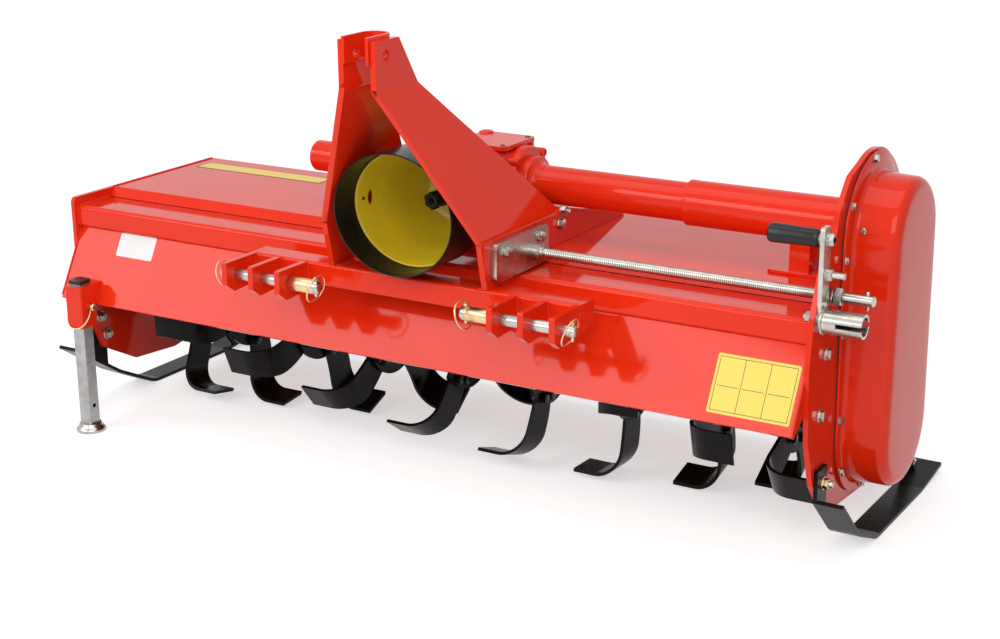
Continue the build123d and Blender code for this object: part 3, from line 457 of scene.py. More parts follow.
# plug on the front wall, and the sight plug low on the rear wall
plug_out, plug_z, sight_out = 25, 616, 62
plug_spot = at(right_out + plug_out * mm, -(flange_r - case_wall_in - 2), plug_z)
case_bolts.lathe(plug_spot, -Y, ((6, 0), (6, 4), (4.5, 5.5)), 20)
case_bolts.done("gear_case_bolts", "frame", "zinc", zinc)
sight = Piece()
sight_axis = Vector((0, 0.86, -0.51))
sight_foot = (flange_low_r - low_wall_in - 4) * mm  # from the rotor's axis
sight.lathe(Vector((right_out + sight_out * mm, rotor.y, rotor.z)) + sight_axis * sight_foot,
            sight_axis, ((14, 0), (14, 5), (12, 7), (9, 7), (9, 12), (7.5, 14)), 28)
sight.done("gear_case_plug", "frame", "olive_plastic", yellow)

# -------- gearbox
box_low, box_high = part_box("gearbox")
left_flange_t = 11
ring_flange_out = 66  # from the headstock's middle to the ring flange on the right
ring_flange_t = 20
boss_out = 72  # of the ring flange's bosses from the cross shaft
stub_bolt_out = 51
cap_bolt_out = 43
body_left = box_low.x + left_flange_t * mm
body_right = head_x + ring_flange_out * mm
half_box = (box_high.y - shaft.y) / mm - 3  # of the housing, across

casting = Piece()
# (distance from the housing's left end, half width, corner radius)
sections = ((0, 64, 14), (3, 70, 16), (8, 72, 18), (76, 72, 20), (92, 71, 30), (102, 69, 44),
            (108, 66, 58), (118, 65, 64.9))
casting_rings = [casting.ring(Vector((body_left + x * mm, shaft.y + u * mm, shaft.z + v * mm))
                              for u, v in rounded(2 * half, 2 * half, corner, 7))
                 for x, half, corner in sections]
casting.loft(casting_rings)
# ring flange with its four bosses, and the neck round the tube
flange = Vector((body_right, shaft.y, shaft.z))
casting.lathe(flange, X, ((70, -2), (73.5, -0.6), (74, 1), (71.5, ring_flange_t - 1.5),
                          (70, ring_flange_t), (54, ring_flange_t + 0.6)), 72)
casting.lathe(flange + X * ring_flange_t * mm, X,
              ((54, 0), (54, 15.5), (52.5, 17.5), (48, 18), (43.5, 20), (41, 24), (38.8, 27),
               (38.8, 36)), 72)
for k in range(4):
    a = radians(45 + 90 * k)
    spot = flange + Vector((1 * mm, boss_out * mm * cos(a), boss_out * mm * sin(a)))
    casting.lathe(spot, X, ((9, 0), (10, 1.5), (9.6, 20), (8.4, 22), (4.6, 22), (4.2, 20)), 24)
# left flange with the stub tube's collar
left_face = Vector((body_left, shaft.y, shaft.z))
casting.lathe(left_face, -X, ((60, 0), (60, 9), (58.5, 10.5), (42, 11), (38, 14), (33.4, 15.5)), 60)
for k in range(6):
    a = radians(30 + 60 * k)
    casting.lathe(left_face + Vector((0, cos(a), sin(a))) * stub_bolt_out * mm, -X,
                  ((8, 0), (8, 12), (7, 13.5)), 20)
# nose round the drive stub, and a closed cap behind
nose_base = Vector((head_x, shaft.y - half_box * mm, shaft.z))
casting.lathe(nose_base, -Y, ((68, -6), (66, 4), (60, 11), (57.6, 16), (57.6, 66), (55.5, 69.5),
                              (26, 69.6), (23, 68), (21.2, 64)), 60)
rear_face = Vector((head_x + 12 * mm, box_high.y - 3 * mm, shaft.z))
casting.lathe(rear_face, Y, ((52, -4), (52, 2), (50.5, 3), (0.5, 3)), 48)
for k in range(6):
    a = radians(60 * k)
    casting.hexagon(rear_face + Vector((cos(a), 0, sin(a))) * cap_bolt_out * mm, Y, 10, 3,
                    spin=k)
casting.done("gearbox_casting", "headstock", "red_paint", red_cast, replaces=("gearbox",), sharp=38)

lid_half, lid_corner, screw_in = 63, 14, 14
lid_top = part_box("gearbox_cover")[0].z + 6 * mm
lid_mid = Vector((head_x + 1 * mm, shaft.y, lid_top))
lid = Piece()
lid_rings = []
# (distance above the lid's top face, distance inside its edge)
for z, inset in ((-11, 3), (-8.6, 0.8), (-8, 0), (-1, 0), (0, 1.2)):
    across = 2 * (lid_half - inset)
    lid_rings.append(lid.ring(lid_mid + Vector((u, v, z)) * mm
                              for u, v in rounded(across, across, lid_corner - inset, 6)))
lid.loft(lid_rings)
screw_out = lid_half - screw_in
boss_spot = lid_mid + Vector((-screw_out, screw_out, -0.5)) * mm
lid.lathe(boss_spot, Z, ((15.5, 0), (15, 2), (14.4, 3.4), (13, 4), (8, 4), (7.4, 3.2)), 40)
lid.hexagon(boss_spot + Z * 2.6 * mm, Z, 9, 2)
# the cast corner under the lid, over the ring flange
block = lid_mid + Vector((lid_half - 13, lid_half - 15, -26)) * mm
lid.lathe(block, Z, ((11, 0), (12.6, 4), (12.6, 20)), 28)
lid.done("gearbox_lid", "headstock", "red_paint", red_cast, replaces=("gearbox_cover",), sharp=38)
lid_screws = Piece()
for sx, sy in ((1, 1), (1, -1), (-1, -1)):
    lid_screws.lathe(lid_mid + Vector((sx, sy, 0)) * screw_out * mm, Z,
                     ((5.6, -0.5), (5.6, 0.9), (5, 1.5), (3, 1.5), (2.8, 0.4)), 24)
lid_screws.done("gearbox_screws", "headstock", "dark_steel", steel)

# -------- drive guard
drum_low, drum_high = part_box("guard_drum")
drum_len = drum_high.y - drum_low.y
guard_mid = (drum_low + drum_high) / 2
half_w = (drum_high.x - drum_low.x) / 2 / mm
half_h = (drum_high.z - drum_low.z) / 2 / mm
drum_out, drum_in = 0.4, 4  # of the wall's two faces, inside the drum's box
lip_len = 9
lip_roll = 1.3


def oval(shape, y, inset, flat=0.0):
    """Ring of the guard at `y`, `inset` mm inside its outline; flat = 1 makes it a circle."""
    a_half = half_w - inset
    b_half = half_h - inset + flat * (half_w - half_h)
    return shape.ring(Vector((guard_mid.x + a_half * mm * cos(a), y,
                              guard_mid.z + b_half * mm * sin(a)))
                      for a in circle_angles(112))


drum = Piece()
drum_rings = [oval(drum, drum_high.y, 1), oval(drum, drum_high.y - 1 * mm, 0.2)]
drum_rings += [oval(drum, drum_low.y + drum_len * share, drum_out) for share in (0.75, 0.5, 0.25)]
drum_rings.append(oval(drum, drum_low.y + lip_len * mm, drum_out))
for k in range(7):
    a = radians(30 * k)
    inset, dy = lip_roll - lip_roll * cos(a), -lip_roll * sin(a)
    drum_rings.append(oval(drum, drum_low.y + (lip_roll + 0.2) * mm + dy * mm, inset))
drum_rings.append(oval(drum, drum_low.y + lip_len * mm, drum_in))
drum_rings += [oval(drum, drum_low.y + drum_len * share, drum_in) for share in (0.25, 0.5, 0.75, 1)]
drum.skin(drum_rings + drum_rings[:1])
drum.done("guard_sleeve", "headstock", "black_plastic", drum_black, replaces=("guard_drum",),
          sharp=50)

bowl = Piece()
cone_low, cone_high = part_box("guard_cone")
rim_y = cone_low.y
rim_in = half_w - (cone_high.x - cone_low.x) / 2 / mm
# (distance in from the rim's outline, distance behind the rim, roundness)
bowl_inside = ((0.2, 3, 0), (0.1, -1, 0), (1, -2.6, 0), (3, -3, 0), (4.6, -1.6, 0), (6, 1.5, 0),
               (9, 10, 0.02), (14, 24, 0.1), (22, 46, 0.3), (31, 70, 0.55), (41, 95, 0.8),
               (51, 117, 0.95), (60, 134, 1), (66, 144, 1), (72, 150, 1), (80, 153.5, 1),
               (90, 154.5, 1), (104, 155, 1), (106, 157, 1))
bowl_outside = ((76, 158, 1), (69, 160, 1), (69, 204, 1), (66, 204, 1), (63, 160, 1),
                (54, 128, 0.95), (44, 100, 0.8), (34, 76, 0.55), (25, 52, 0.3), (12, 25, 0.05),
                (4, 10, 0))
bowl_rings = [oval(bowl, rim_y + back * mm, rim_in + inset, flat)
              for inset, back, flat in bowl_inside + bowl_outside]
bowl.skin(bowl_rings + bowl_rings[:1])
bowl.done("guard_funnel", "headstock", "olive_plastic", olive, replaces=("guard_cone",), sharp=60)


def on_bowl(angle, depth):
    """Point just proud of the funnel's inside, `depth` mm behind its rim."""
    proud = 1.0
    inside = bowl_inside[5:]
    for (i0, b0, f0), (i1, b1, f1) in zip(inside, inside[1:]):
        if b0 <= depth <= b1:
            t = (depth - b0) / (b1 - b0)
            inset, flat = rim_in + i0 + (i1 - i0) * t + proud, f0 + (f1 - f0) * t
            a = radians(angle)
            b_half = half_h - inset + flat * (half_w - half_h)
            return Vector((guard_mid.x + (half_w - inset) * mm * cos(a),
                           rim_y + (depth - 0.2) * mm, guard_mid.z + b_half * mm * sin(a)))


# painted shade: dark red sheets just proud of the funnel's inside stand in for a long slot and a
# round hole in the funnel (degrees round it, and mm behind its rim)
slot_start, slot_turn, slot_depth = 169, 17, 27
dot_angle, dot_depth = 178, 13
hole_shade_sheet = Piece()
slot_rows = []
for k in range(13):
    half_slot = 0.6 + 4 * sin(pi * k / 12) ** 0.7
    slot_rows.append(hole_shade_sheet.ring(on_bowl(slot_start + slot_turn * k / 12, slot_depth + w * half_slot)
                                for w in (-1, -0.5, 0, 0.5, 1)))
hole_shade_sheet.skin(slot_rows, closed=False)
hole_shade_sheet.cap(hole_shade_sheet.ring(on_bowl(dot_angle + 2.1 * cos(a), dot_depth + 3.4 * sin(a))
                     for a in circle_angles(16)))
hole_shade_sheet.done("guard_painted_hole_shade", "headstock", "dark_steel", hole_shade_mat)

# -------- drive stub
stub_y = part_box("pto_stub")[0].y  # of its free end
teeth = 6
spline_len = 72
spline = Piece()
spline_rings = []
# (tooth radius, root radius, distance from the free end)
for r_out, r_root, y in ((15.2, 13.6, 0), (17.4, 14.4, 2.2), (17.4, 14.4, 20), (14.8, 14.2, 22.5),
                         (14.8, 14.2, 29.5), (17.4, 14.4, 32), (17.4, 14.4, 60),
                         (17.4, 15.8, spline_len)):
    points = []
    for tooth in range(teeth):
        for share, r in ((0.0, r_root), (0.10, r_root), (0.26, r_root), (0.34, r_out),
                         (0.5, r_out), (0.68, r_out), (0.84, r_out), (0.92, r_root)):
            a = 2 * pi * (tooth + share) / teeth
            points.append(Vector((head_x + r * mm * cos(a), stub_y + y * mm,
                                  shaft.z + r * mm * sin(a))))
    spline_rings.append(spline.ring(points))
spline.skin(spline_rings)
spline.cap(spline_rings[-1])
hole = [spline.ring(Vector((head_x + r * mm * cos(a), stub_y + y * mm,
                            shaft.z + r * mm * sin(a))) for a in circle_angles(48))
        for r, y in ((6.5, 0), (5.2, 1.2), (2.2, 4), (1.5, 9))]
spline.skin([spline_rings[0]] + hole)
spline.cap(hole[-1])
spline.lathe(Vector((head_x, stub_y + spline_len * mm, shaft.z)), Y,
             ((19, 0), (20, 1), (20, 82)), 48)
spline.done("drive_spline", "pto_shaft", "dark_steel", black_cast, replaces=("pto_stub",), sharp=30)

# -------- side-shift screw
screw_low, screw_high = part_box("shift_screw")
screw_mid = (screw_low + screw_high) / 2
plate_low, plate_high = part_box("adjuster_plate")
screw_r = 10
thread_depth = 1.25
pitch = 4.0
around = 20  # points of each ring
start_x = plate_high.x + 15 * mm
stop_x = right_out + 30 * mm
thread = Piece()


def screw_ring(x, radii):
    """Ring of the screw at `x`, with the radius of each of its points."""
    return thread.ring(Vector((x, screw_mid.y + r * mm * cos(a),
                               screw_mid.z + r * mm * sin(a)))
                       for r, a in zip(radii, circle_angles(around)))


def thread_radii(phase):
    """Radii round the screw after `phase` turns of its thread."""
    return [screw_r - thread_depth * abs(2 * ((phase - k / around) % 1) - 1) ** 1.3
            for k in range(around)]


thread_rings = [screw_ring(x, [r] * around)
                for x, r in ((screw_low.x, 8.6), (screw_low.x + 1.4 * mm, screw_r - 0.2),
                             (start_x - 2 * mm, screw_r - 0.2))]
for step in range(int((stop_x - start_x) / mm / pitch) * 4):
    thread_rings.append(screw_ring(start_x + pitch * step / 4 * mm, thread_radii(step / 4)))
thread_rings += [screw_ring(x, [r] * around)
                 for x, r in ((stop_x + 1 * mm, screw_r - 0.1),
                              (screw_high.x - 2 * mm, screw_r - 0.1),
                              (screw_high.x, screw_r - 2.0))]
thread.loft(thread_rings)
for x, axis in ((right_out, X), (right_out + 14 * mm, X), (right_in, -X)):
    thread.hexagon(Vector((x, screw_mid.y, screw_mid.z)) + axis * 0.3 * mm, axis, 29.6, 12.6,
                   spin=x * 40, hollow=screw_r + 0.4)
cross_pin_len = (screw_high.z - screw_low.z) / mm
thread.lathe(Vector((screw_high.x - 13 * mm, screw_mid.y, screw_low.z)), Z,
             ((2.2, 0), (3, 1), (3, cross_pin_len - 1), (2.2, cross_pin_len)), 20)
thread.done("screw_thread", "frame", "zinc", zinc, replaces=("shift_screw",), sharp=40)

adjuster_t = 14
adjuster_face = mast_face + adjuster_t * mm
adjuster_bolts = Piece()
for y, z in ((plate_low.y + 36 * mm, plate_high.z - 20 * mm),
             (plate_high.y - 34 * mm, plate_high.z - 19 * mm)):
    adjuster_bolts.bolt(Vector((adjuster_face, y, z)), X, across=17, height=6.5, washer=11.5,
                        spin=y * 9)
adjuster_bolts.lathe(Vector((plate_high.x - 1 * mm, screw_mid.y, screw_mid.z)), X,
                     ((16.4, 0), (15, 2), (13, 3), (12.8, 8), (12, 9), (10.1, 9)), 36)
adjuster_bolts.bolt(at(mast_face, -82, 544), X, spin=0.7)
adjuster_bolts.nut(at(mast_face, -71, 567) - X * 2 * mm, (1, 0, 0.1), across=16, washer=9.6, stud=5,
                   spin=0.2)
adjuster_bolts.done("adjuster_bolts", "headstock", "zinc", zinc)

# -------- crank
crank_low, crank_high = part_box("crank_arm")
grip_low, grip_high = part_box("crank_grip")
grip_mid = (grip_low + grip_high) / 2
grip_len = (grip_high.x - grip_low.x) / mm
crank_y = (crank_low.y + crank_high.y) / 2
crank_t = 8
arm_face = right_out + crank_t * mm
stud_z = 566
socket_z, socket_seam_r = 482, 23
crank_bolts = Piece()
crank_bolts.bolt(Vector((arm_face, crank_y, grip_mid.z)), X, across=19.6, height=10, washer=13.5,
                 thick=2)
crank_bolts.nut(at(arm_face, (crank_y - rotor.y) / mm, stud_z), X, across=19.6, height=10.2,
                washer=12.5, thick=1.6, stud=6.2, proud=20, spin=0.4)
crank_bolts.hexagon(Vector((grip_high.x, crank_y, grip_mid.z)), X, 19, 5.8, spin=0.5)
for y, z in ((crank_y - 2 * mm, 512), (crank_y - 4 * mm, 468)):
    crank_bolts.lathe(Vector((arm_face, y, z * mm)), X,
                      ((5.5, 0), (5.5, 2.5), (4, 4.2), (1.5, 4.8)), 20)
crank_bolts.bead([Vector((arm_face, crank_y + socket_seam_r * mm * cos(a),
                          socket_z * mm + socket_seam_r * mm * sin(a)))
                  for a in circle_angles(24) + [2 * pi]], 2.6)
crank_bolts.done("crank_fasteners", "frame", "zinc", zinc)
grip = Piece()
grip_rings = []
facets, facet_depth = 8, 0.035
# (distance from the grip's inner end, radius)
for along, r in ((0, 12), (1.2, 15), (4, 17.2), (8, 17.9), (30, 17.4), (60, 16.6),
                 (grip_len - 8, 16.2), (grip_len - 3, 15.6), (grip_len, 13)):
    points = []
    for a in circle_angles(48):
        facet = 1 - facet_depth * (1 - cos(facets * a)) / 2
        points.append(Vector((grip_low.x + along * mm, grip_mid.y + r * facet * mm * cos(a),
                              grip_mid.z + r * facet * mm * sin(a))))
    grip_rings.append(grip.ring(points))
grip.loft(grip_rings)
grip.done("crank_handle", "frame", "black_plastic", rubber, replaces=("crank_grip",), sharp=40)

# -------- lower hitch pins
for side, name in ((-1, "left"), (1, "right")):
    low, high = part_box(f"hitch_pin_{name}")
    ears_low, ears_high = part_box(f"hitch_ears_{name}")
    mid = (low + high) / 2
    out = X * side
    inner_x, outer_x, ear_x = low.x, high.x, ears_low.x
    if side < 0:
        inner_x, outer_x, ear_x = high.x, low.x, ears_high.x
    thick_len = abs(ear_x - inner_x) / mm  # of the free end for the lower link
    thin_len = abs(outer_x - ear_x) / mm  # between the ears
    nose_len = 14
    pin = Piece()
    base = Vector((inner_x, mid.y, mid.z))
    pin.lathe(base, out, ((7.5, 0), (10.5, 0.9), (12.6, 3), (13.7, 7), (13.9, 12),
                          (13.9, nose_len)), 48, 1, caps=(True, False))
    pin.lathe(base + out * nose_len * mm, out,
              ((13.9, 0), (13.4, 0.8), (13.4, 2), (14, 2.8), (14, thick_len - 15.2),
               (13, thick_len - nose_len)), 48, 0, caps=(False, True))
    pin.lathe(Vector((ear_x, mid.y, mid.z)) - out * 1 * mm, out,
              ((11, 0), (11, thin_len - 8), (10.4, thin_len - 3), (8, thin_len - 0.2),
               (4, thin_len + 1)), 48, 1)
    # painted shade: a dark steel disc stands in for the cross hole in the first length between the
    # ears
    for degrees in (40, 220):
        a = radians(degrees)
        away = Vector((0, -cos(a), sin(a)))
        pin.lathe(Vector((ear_x + side * 26 * mm, mid.y, mid.z)) + away * 10.6 * mm, away,
                  ((3.4, 0), (3.1, 0.5), (2.4, 0.45), (2.2, 0.2)), 20, 2)
    pin.done(f"hitch_pin_{name}_turned", "headstock", "zinc", gold, zinc, steel,
             replaces=(f"hitch_pin_{name}",), sharp=40)
    clips = Piece()
    for x, lean, r in ((inner_x + side * 10 * mm, -0.30, 27), (outer_x - side * 9 * mm, 0.34, 26)):
        centre = Vector((x, mid.y, mid.z))
        tilt = Vector((sin(lean) * side, 0, cos(lean)))
        clips.lathe(centre - Z * 19 * mm, Z,
                    ((2.2, 0), (3.4, 2), (3.4, 33), (4.6, 34), (4.6, 36.5), (3.8, 38)), 20)
        ring_mid = centre + Vector((side * -3 * mm, -4 * mm, -2 * mm))
        clips.rod([ring_mid + (Y * cos(a) + tilt * sin(a)) * r * mm
                   for a in circle_angles(40)], 1.7, closed=True)
    clips.done(f"lynch_pins_{name}", "headstock", "zinc", gold)

# -------- parking leg
leg_low, leg_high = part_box("leg_tube")
sleeve_low, sleeve_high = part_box("leg_sleeve")
leg_x = (leg_low.x + leg_high.x) / 2
leg_y = (leg_low.y + leg_high.y) / 2
half_sleeve = (sleeve_high.x - sleeve_low.x) / 2 / mm
bail_z, bail_drop = 290, 46
bail_side, bail_front = half_sleeve + 9, 22
wire_r = 1.6
# the pin's two ends outside the sleeve, and the bail that hangs from them
bail = Piece()
bail.lathe(Vector((sleeve_high.x - 2 * mm, leg_y, bail_z * mm)), X,
           ((4.5, 0), (4.5, 10), (8, 11), (8, 16), (6.5, 18)), 20)
bail.lathe(Vector((sleeve_low.x + 2 * mm, leg_y, bail_z * mm)), -X,
           ((4.5, 0), (4.5, 12), (3, 14)), 20)
loop = [Vector((leg_x + bail_side * mm, leg_y, bail_z * mm))]
for k in range(33):
    a = pi * (k / 32)
    loop.append(Vector((leg_x + bail_side * mm * cos(a) * (1 + 0.1 * sin(a)),
                        leg_y - (half_sleeve * 0.2 + bail_front * sin(a)) * mm,
                        (bail_z - bail_drop * sin(a) ** 0.8 - 2) * mm)))
loop.append(Vector((leg_x - bail_side * mm, leg_y, bail_z * mm)))
bail.rod(loop, wire_r)
bail.done("leg_pin", "frame", "zinc", gold)
foot = Piece()
foot.lathe(Vector((leg_x, leg_y, 0.2 * mm)), Z,
           ((29, 0), (32.2, 1.2), (32.6, 4), (31, 7.5), (28, 10.5), (25.5, 13), (24.6, 17),
            (23.5, 18.4)), 56)
foot.done("leg_foot", "leg", "zinc", zinc, sharp=45)

# -------- bolts of the plates, skids and rotor
bracket_low, bracket_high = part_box("tube_bracket")
foot_t = 6  # of the plate under the tube's bracket
# places of bolts as (distance behind the rotor's axis, height)
skid_arm, skid_heel, skid_tab = (178, 178), (300, 28), (-206, 166)
plate_bolts = Piece()
for back, z in ((-202, 409), (-222, 299), (-251, 488), skid_arm):
    face = right_out if back < 0 else right_skid
    plate_bolts.bolt(at(face, back, z), X, across=18, height=7.5, washer=12.5, spin=z)
    plate_bolts.nut(at(right_in, back, z), -X, across=18, height=9, washer=12, proud=4)
for back, z in ((-212, 215), (-195, 170)):
    plate_bolts.nut(at(left_in, back, z), X, across=18, height=8, washer=12.5, proud=3, spin=z)
for back, z in ((-212, 215), skid_arm):
    face = left_out if back < 0 else left_skid
    plate_bolts.bolt(at(face, back, z), -X, across=18, height=7.5, washer=12.5, spin=z)
for face, out in ((right_skid, X), (left_skid, -X)):
    plate_bolts.bolt(at(face, *skid_heel), out, across=19, height=8, washer=13)
bracket_bolt = Vector((bracket_high.x + 17 * mm, shaft.y + 2 * mm, deck_top + foot_t * mm))
plate_bolts.bolt(bracket_bolt, Z, across=18, height=8, washer=13)
plate_bolts.done("plate_bolts", "frame", "zinc", zinc)

skid_nuts = Piece()
skid_studs = Piece()
for side, face in ((1, right_skid), (-1, left_skid)):
    skid_nuts.nut(at(face, *skid_tab), X * side, across=18, height=9, washer=13, thick=2.2, proud=1,
                  spin=0.6)
    skid_studs.lathe(at(face + side * 10 * mm, *skid_tab), X * side, ((6, 0), (6, 7.5), (5, 9)), 20)
skid_nuts.done("skid_nuts", "frame", "zinc", gold)
skid_studs.done("skid_studs", "frame", "zinc", zinc)

flange_t = 8
flange_count = 9
inner_pitch = 197  # of all flanges but the two at the ends
helix, first_angle = 16.5, -11  # degrees of turn from flange to flange, and of the first one
blade_t, blade_reach = 7, 100
wing = blade_reach + (flange_t + blade_t) / 2  # reach of an end blade past its flange's middle
hood_mid = (left_in + right_in) / 2
end_place = (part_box("blades_right")[1].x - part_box("blades_left")[0].x) / 2 / mm - wing
inner_places = [inner_pitch * (k - (flange_count - 1) / 2) for k in range(1, flange_count - 1)]
rotor_bolts = Piece()
for flange_i, place in enumerate([-end_place] + inner_places + [end_place]):
    x = hood_mid + place * mm
    for k in range(4):
        hand = 1 if k % 2 == 0 else -1
        turn = radians(first_angle + flange_i * helix + 90 * k)
        for along, across in ((70, -13), (78, 13)):
            # a blade's arm points up before it is turned about the rotor's axis
            y = rotor.y + (across * cos(turn) - along * sin(turn)) * mm
            z = rotor.z + (across * sin(turn) + along * cos(turn)) * mm
            face = x + hand * (flange_t / 2 + blade_t) * mm
            back = x - hand * flange_t / 2 * mm
            rotor_bolts.bolt(Vector((face, y, z)), X * hand, across=19, height=8, washer=11,
                             thick=1.5, spin=k + along)
            rotor_bolts.hexagon(Vector((back, y, z)), -X * hand, 19, 9, spin=along)
rotor_bolts.done("rotor_bolts", "rotor", "black_paint", black)

# -------- welds
bar_low, bar_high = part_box("hitch_bar")
ear_pitch, ear_half, ear_seam = 65, 6, 6.5
mast_out, mast_seam = 169, 6.4  # of the mast plates' feet from the headstock's middle
tab_out, tab_seam_z = 29, 0.9035  # of the mast's tabs, and the height of their strap's seam
welds = Piece()
for name in ("left", "right"):
    first_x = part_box(f"hitch_ears_{name}")[0].x
    front = bar_low.y - 0.4 * mm
    for step in range(3):
        for edge in (-ear_seam, ear_seam):
            x = first_x + (ear_half + ear_pitch * step + edge) * mm
            welds.bead([(x, front, bar_high.z - 3 * mm), (x, front, bar_low.z + 4 * mm)], 2.6)
for side in (-1, 1):
    for edge in (-mast_seam, mast_seam):
        x = head_x + side * mast_out * mm + side * edge * mm
        welds.bead([(x, bar_low.y + 3 * mm, bar_high.z), (x, bar_high.y, bar_high.z)])
    x = head_x + side * tab_out * mm
    welds.bead([(x, drum_low.y - 90 * mm, tab_seam_z), (x, drum_low.y - 30 * mm, tab_seam_z)], 2.2)
welds.done("headstock_welds", "headstock", "red_paint", red_cast)

beam_low, beam_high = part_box("front_beam")
tube_seam_r = 45
seams = Piece()
for face in (left_in, right_in):
    front = beam_low.y - 0.3 * mm
    deck_seam_z = deck_top / mm + 0.3
    seams.bead([(face, front, beam_high.z - 4 * mm), (face, front, beam_low.z + 6 * mm)], 2.6)
    seams.bead([(face, beam_low.y + 8 * mm, beam_high.z),
                (face, beam_high.y - 6 * mm, beam_high.z)], 2.6)
    seams.bead([at(face, -138, deck_seam_z), at(face, 205, deck_seam_z)], 2.6)
    seams.bead([at(face, -248, 432), at(face, -323, 295)], 2.4)
for side in (-1, 1):
    x = leg_x + side * 20 * mm
    seams.bead([(x, leg_y + 24 * mm, sleeve_low.z + 50 * mm),
                (x, sleeve_high.y - 8 * mm, sleeve_high.z - 12 * mm)], 2.4)
for y in (bracket_low.y, bracket_high.y):
    for inset, z in ((0, deck_top + foot_t * mm), (2 * mm, bracket_high.z - 8 * mm)):
        seams.bead([(bracket_low.x + inset, y, z), (bracket_high.x - inset, y, z)], 2.6)
seams.bead([Vector((right_in - 0.5 * mm, shaft.y + tube_seam_r * mm * cos(a),
                    shaft.z + tube_seam_r * mm * sin(a)))
            for a in circle_angles(40) + [2 * pi]])
seams.done("frame_welds", "frame", "red_paint", red_cast)
skid_seams = Piece()
for face in (right_skid, left_skid):
    skid_seams.bead([at(face, 262, 8.5), at(face, 316, 12.5)], 3.2)
skid_seams.done("skid_welds", "frame", "black_paint", black_cast)

# -------- tube's step, bracket's foot
step = Piece()
tube_end = Vector((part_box("outer_tube")[0].x - 1.8 * mm, shaft.y, shaft.z))
step.lathe(tube_end, X, ((38.5, 0), (39.4, 0), (43.2, 1.4), (44.2, 2.6), (44.4, 5), (44.4, 9),
                         (44, 10)), 64, caps=(False, False))
step.done("tube_step", "frame", "red_paint", red, sharp=30)
bracket_foot = Piece()
foot_reach, foot_margin, foot_corner = 44, 4, 12  # the first two past the bracket, along X and Y
bracket_mid = (bracket_low + bracket_high) / 2
bracket_size = (bracket_high - bracket_low) / mm
corners = [Vector((bracket_mid.x + u * mm, bracket_mid.y + v * mm, deck_top))
           for u, v in rounded(bracket_size.x + 2 * foot_reach, bracket_size.y + 2 * foot_margin,
                               foot_corner, 5)]
bracket_foot.slab(corners, Z * foot_t * mm)
bracket_foot.done("bracket_foot", "frame", "red_paint", red, bevel=1.2)

# -------- blank signs
panel_top = at(0, -246, 435)
panel_foot = at(0, -326, 289)
panel_down = (panel_foot - panel_top).normalized()
# directions along a sign, down it and out of it
on_panel = (X, panel_down, panel_down.cross(X).normalized())
on_deck = (X, -Y, Z)


def sign(shape, corner, face, width, height, thick, mat=0, round_r=3):
    """Thin plate with rounded corners: `corner` is its upper left one, sizes in mm."""
    along, down, out = face
    shape.slab([corner + along * (width / 2 + u) * mm + down * (height / 2 + v) * mm
                for u, v in rounded(width, height, round_r, 4)], out * thick * mm, mat)


# left edges of the plate, the sign and the strip
plate_x, field_x, strip_x = -0.758, 0.677, -0.848
plate = Piece()
sign(plate, panel_top + X * plate_x + panel_down * 1.5 * mm, on_panel, 101, 52, 0.5)
plate.done("plate_blank", "frame", "zinc", white)
field = Piece()
field_at = panel_top + X * field_x + panel_down * 39 * mm
sign(field, field_at, on_panel, 158, 109, 0.4)
rule_w, tall, wide, short = 1.1, 99, 148, 41
# rules of the sign: (distance along it, distance down it, width, height)
for u, v, w, h in ((5, 5, wide, rule_w), (5, 103, wide, rule_w), (5, 5, rule_w, tall),
                   (152, 5, rule_w, tall), (54, 5, rule_w, tall), (103, 5, rule_w, tall),
                   (9, 58, short, rule_w), (58, 58, short, rule_w), (107, 58, short, rule_w)):
    sign(field, field_at + X * u * mm + panel_down * v * mm, on_panel, w, h, 0.55, 1, 0.3)
field.done("sign_blank", "frame", "olive_plastic", yellow, sign_black)
strip = Piece()
strip_at = at(strip_x, 164, deck_top / mm)
strip_len, strip_w, border = 362, 52, 3.2
sign(strip, strip_at, on_deck, strip_len, strip_w, 0.4, 1, 2)
sign(strip, strip_at + X * border * mm - Y * border * mm, on_deck, strip_len - 2 * border,
     strip_w - 2 * border, 0.6, 0, 2)
strip.done("strip_blank", "frame", "olive_plastic", yellow, sign_black)


# -------- floor, lamps, camera
floor_reach = 40
floor_grey, sky_grey = 0.86, 0.94
# distances from the part in metres, and how bright the floor shows there
glow_near, near_level = 1.0, 0.55
glow_far, far_level = 4.0, 0.76
sky_light = 0.30


def empty_tree(owner):
    """Nodes and links of a material's or a world's tree, emptied."""
    owner.use_nodes = True
    owner.node_tree.nodes.clear()
    return owner.node_tree.nodes, owner.node_tree.links


def seen_by(kit, links):
    """1 for what the camera sees, straight or in a gloss or a glass."""
    path = kit.new("ShaderNodeLightPath")
    last = path.outputs["Is Camera Ray"]
    for ray in ("Is Glossy Ray", "Is Transmission Ray"):
        more = kit.new("ShaderNodeMath")
        more.operation = "MAXIMUM"
        links.new(last, more.inputs[0])
        links.new(path.outputs[ray], more.inputs[1])
        last = more.outputs[0]
    return last


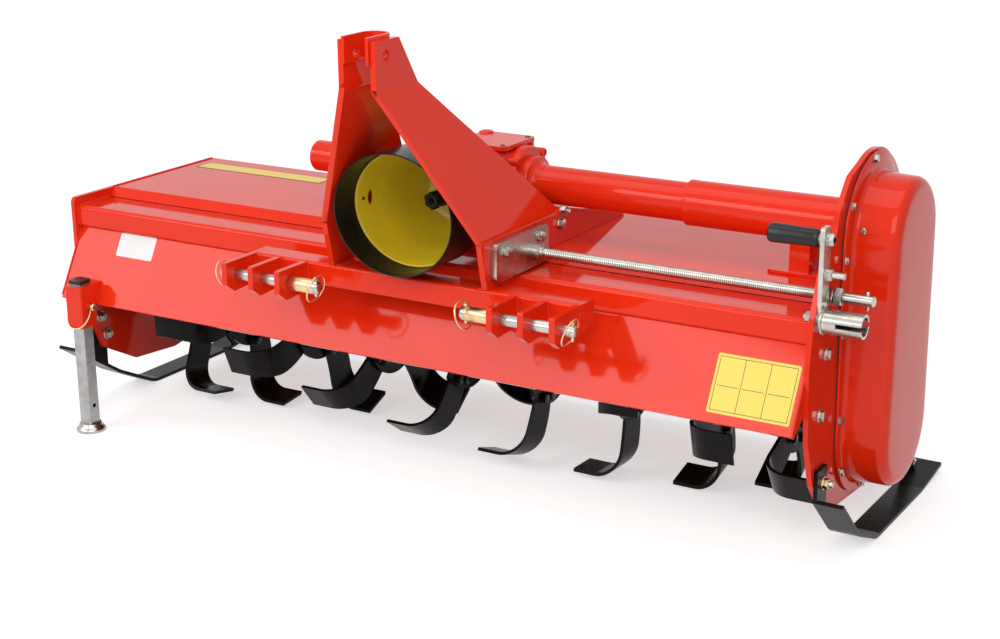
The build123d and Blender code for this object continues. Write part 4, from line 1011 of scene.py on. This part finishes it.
def stage_floor():
    """Pale floor that brightens away from the part, where the camera or a gloss sees it."""
    mat = bpy.data.materials.new("floor")
    kit, links = empty_tree(mat)
    out = kit.new("ShaderNodeOutputMaterial")
    diffuse = kit.new("ShaderNodeBsdfDiffuse")
    put(diffuse, Color=(floor_grey, floor_grey, floor_grey, 1))
    glow = kit.new("ShaderNodeEmission")
    coords = kit.new("ShaderNodeTexCoord")
    away = kit.new("ShaderNodeVectorMath")
    away.operation = "LENGTH"
    links.new(coords.outputs["Object"], away.inputs[0])
    fade = kit.new("ShaderNodeMapRange")
    put(fade, From_Min=glow_near, From_Max=glow_far, To_Min=near_level, To_Max=far_level)
    links.new(away.outputs["Value"], fade.inputs["Value"])
    level = kit.new("ShaderNodeMath")
    level.operation = "MULTIPLY"
    links.new(seen_by(kit, links), level.inputs[0])
    links.new(fade.outputs["Result"], level.inputs[1])
    links.new(level.outputs[0], glow.inputs["Strength"])
    both = kit.new("ShaderNodeAddShader")
    links.new(diffuse.outputs[0], both.inputs[0])
    links.new(glow.outputs[0], both.inputs[1])
    links.new(both.outputs[0], out.inputs["Surface"])
    mesh = bpy.data.meshes.new("floor")
    mesh.from_pydata([(x * floor_reach, y * floor_reach, 0)
                      for x, y in ((-1, -1), (1, -1), (1, 1), (-1, 1))], [], [(0, 1, 2, 3)])
    mesh.materials.append(mat)
    new_object("floor", mesh)


def studio_world():
    """Soft white light from all round, with a pale sky where the camera or a gloss sees it."""
    world = bpy.data.worlds.new("studio")
    bpy.context.scene.world = world
    kit, links = empty_tree(world)
    out = kit.new("ShaderNodeOutputWorld")
    light = kit.new("ShaderNodeBackground")
    put(light, Color=(1, 1, 1, 1), Strength=sky_light)
    back = kit.new("ShaderNodeBackground")
    put(back, Color=(sky_grey, sky_grey, sky_grey, 1))
    mix = kit.new("ShaderNodeMixShader")
    links.new(seen_by(kit, links), mix.inputs["Fac"])
    links.new(light.outputs[0], mix.inputs[1])
    links.new(back.outputs[0], mix.inputs[2])
    links.new(mix.outputs[0], out.inputs["Surface"])


def softbox(name, place, aim, width, height, radiance):
    """Area lamp with an even face of the given radiance."""
    lamp = bpy.data.lights.new(name, "AREA")
    lamp.shape = "RECTANGLE"
    lamp.size = width
    lamp.size_y = height
    lamp.energy = radiance * width * height * pi
    obj = new_object(name, lamp)
    obj.location = place
    obj.rotation_euler = (Vector(aim) - Vector(place)).to_track_quat("-Z", "Y").to_euler()


stage_floor()
studio_world()
softbox("softbox_over", (0.1, -0.35, 3.2), (0, 0.1, 0.3), 3.4, 1.8, 1.5)
softbox("softbox_front", (-1.9, -2.9, 2.3), (0, 0, 0.4), 3.2, 1.3, 4.6)
softbox("softbox_right", (1.6, -2.6, 2.3), (0.3, 0, 0.5), 2.4, 1.8, 3.4)

camera_place = (1.90975, -2.98015, 1.41429)
camera_turn, camera_fall, camera_roll = 31.22, 17.41, -0.46  # degrees
camera_data = bpy.data.cameras.new("camera")
camera_data.sensor_width = 36
camera_data.lens = 64.2
camera_data.clip_end = 200
camera = new_object("camera", camera_data)
camera.matrix_world = (Matrix.Translation(camera_place)
                       @ (Matrix.Rotation(radians(camera_turn), 4, "Z")
                          @ Matrix.Rotation(radians(90 - camera_fall), 4, "X")
                          @ Matrix.Rotation(radians(camera_roll), 4, "Z")))
bpy.context.scene.camera = camera
bpy.context.scene.view_settings.view_transform = "Standard"
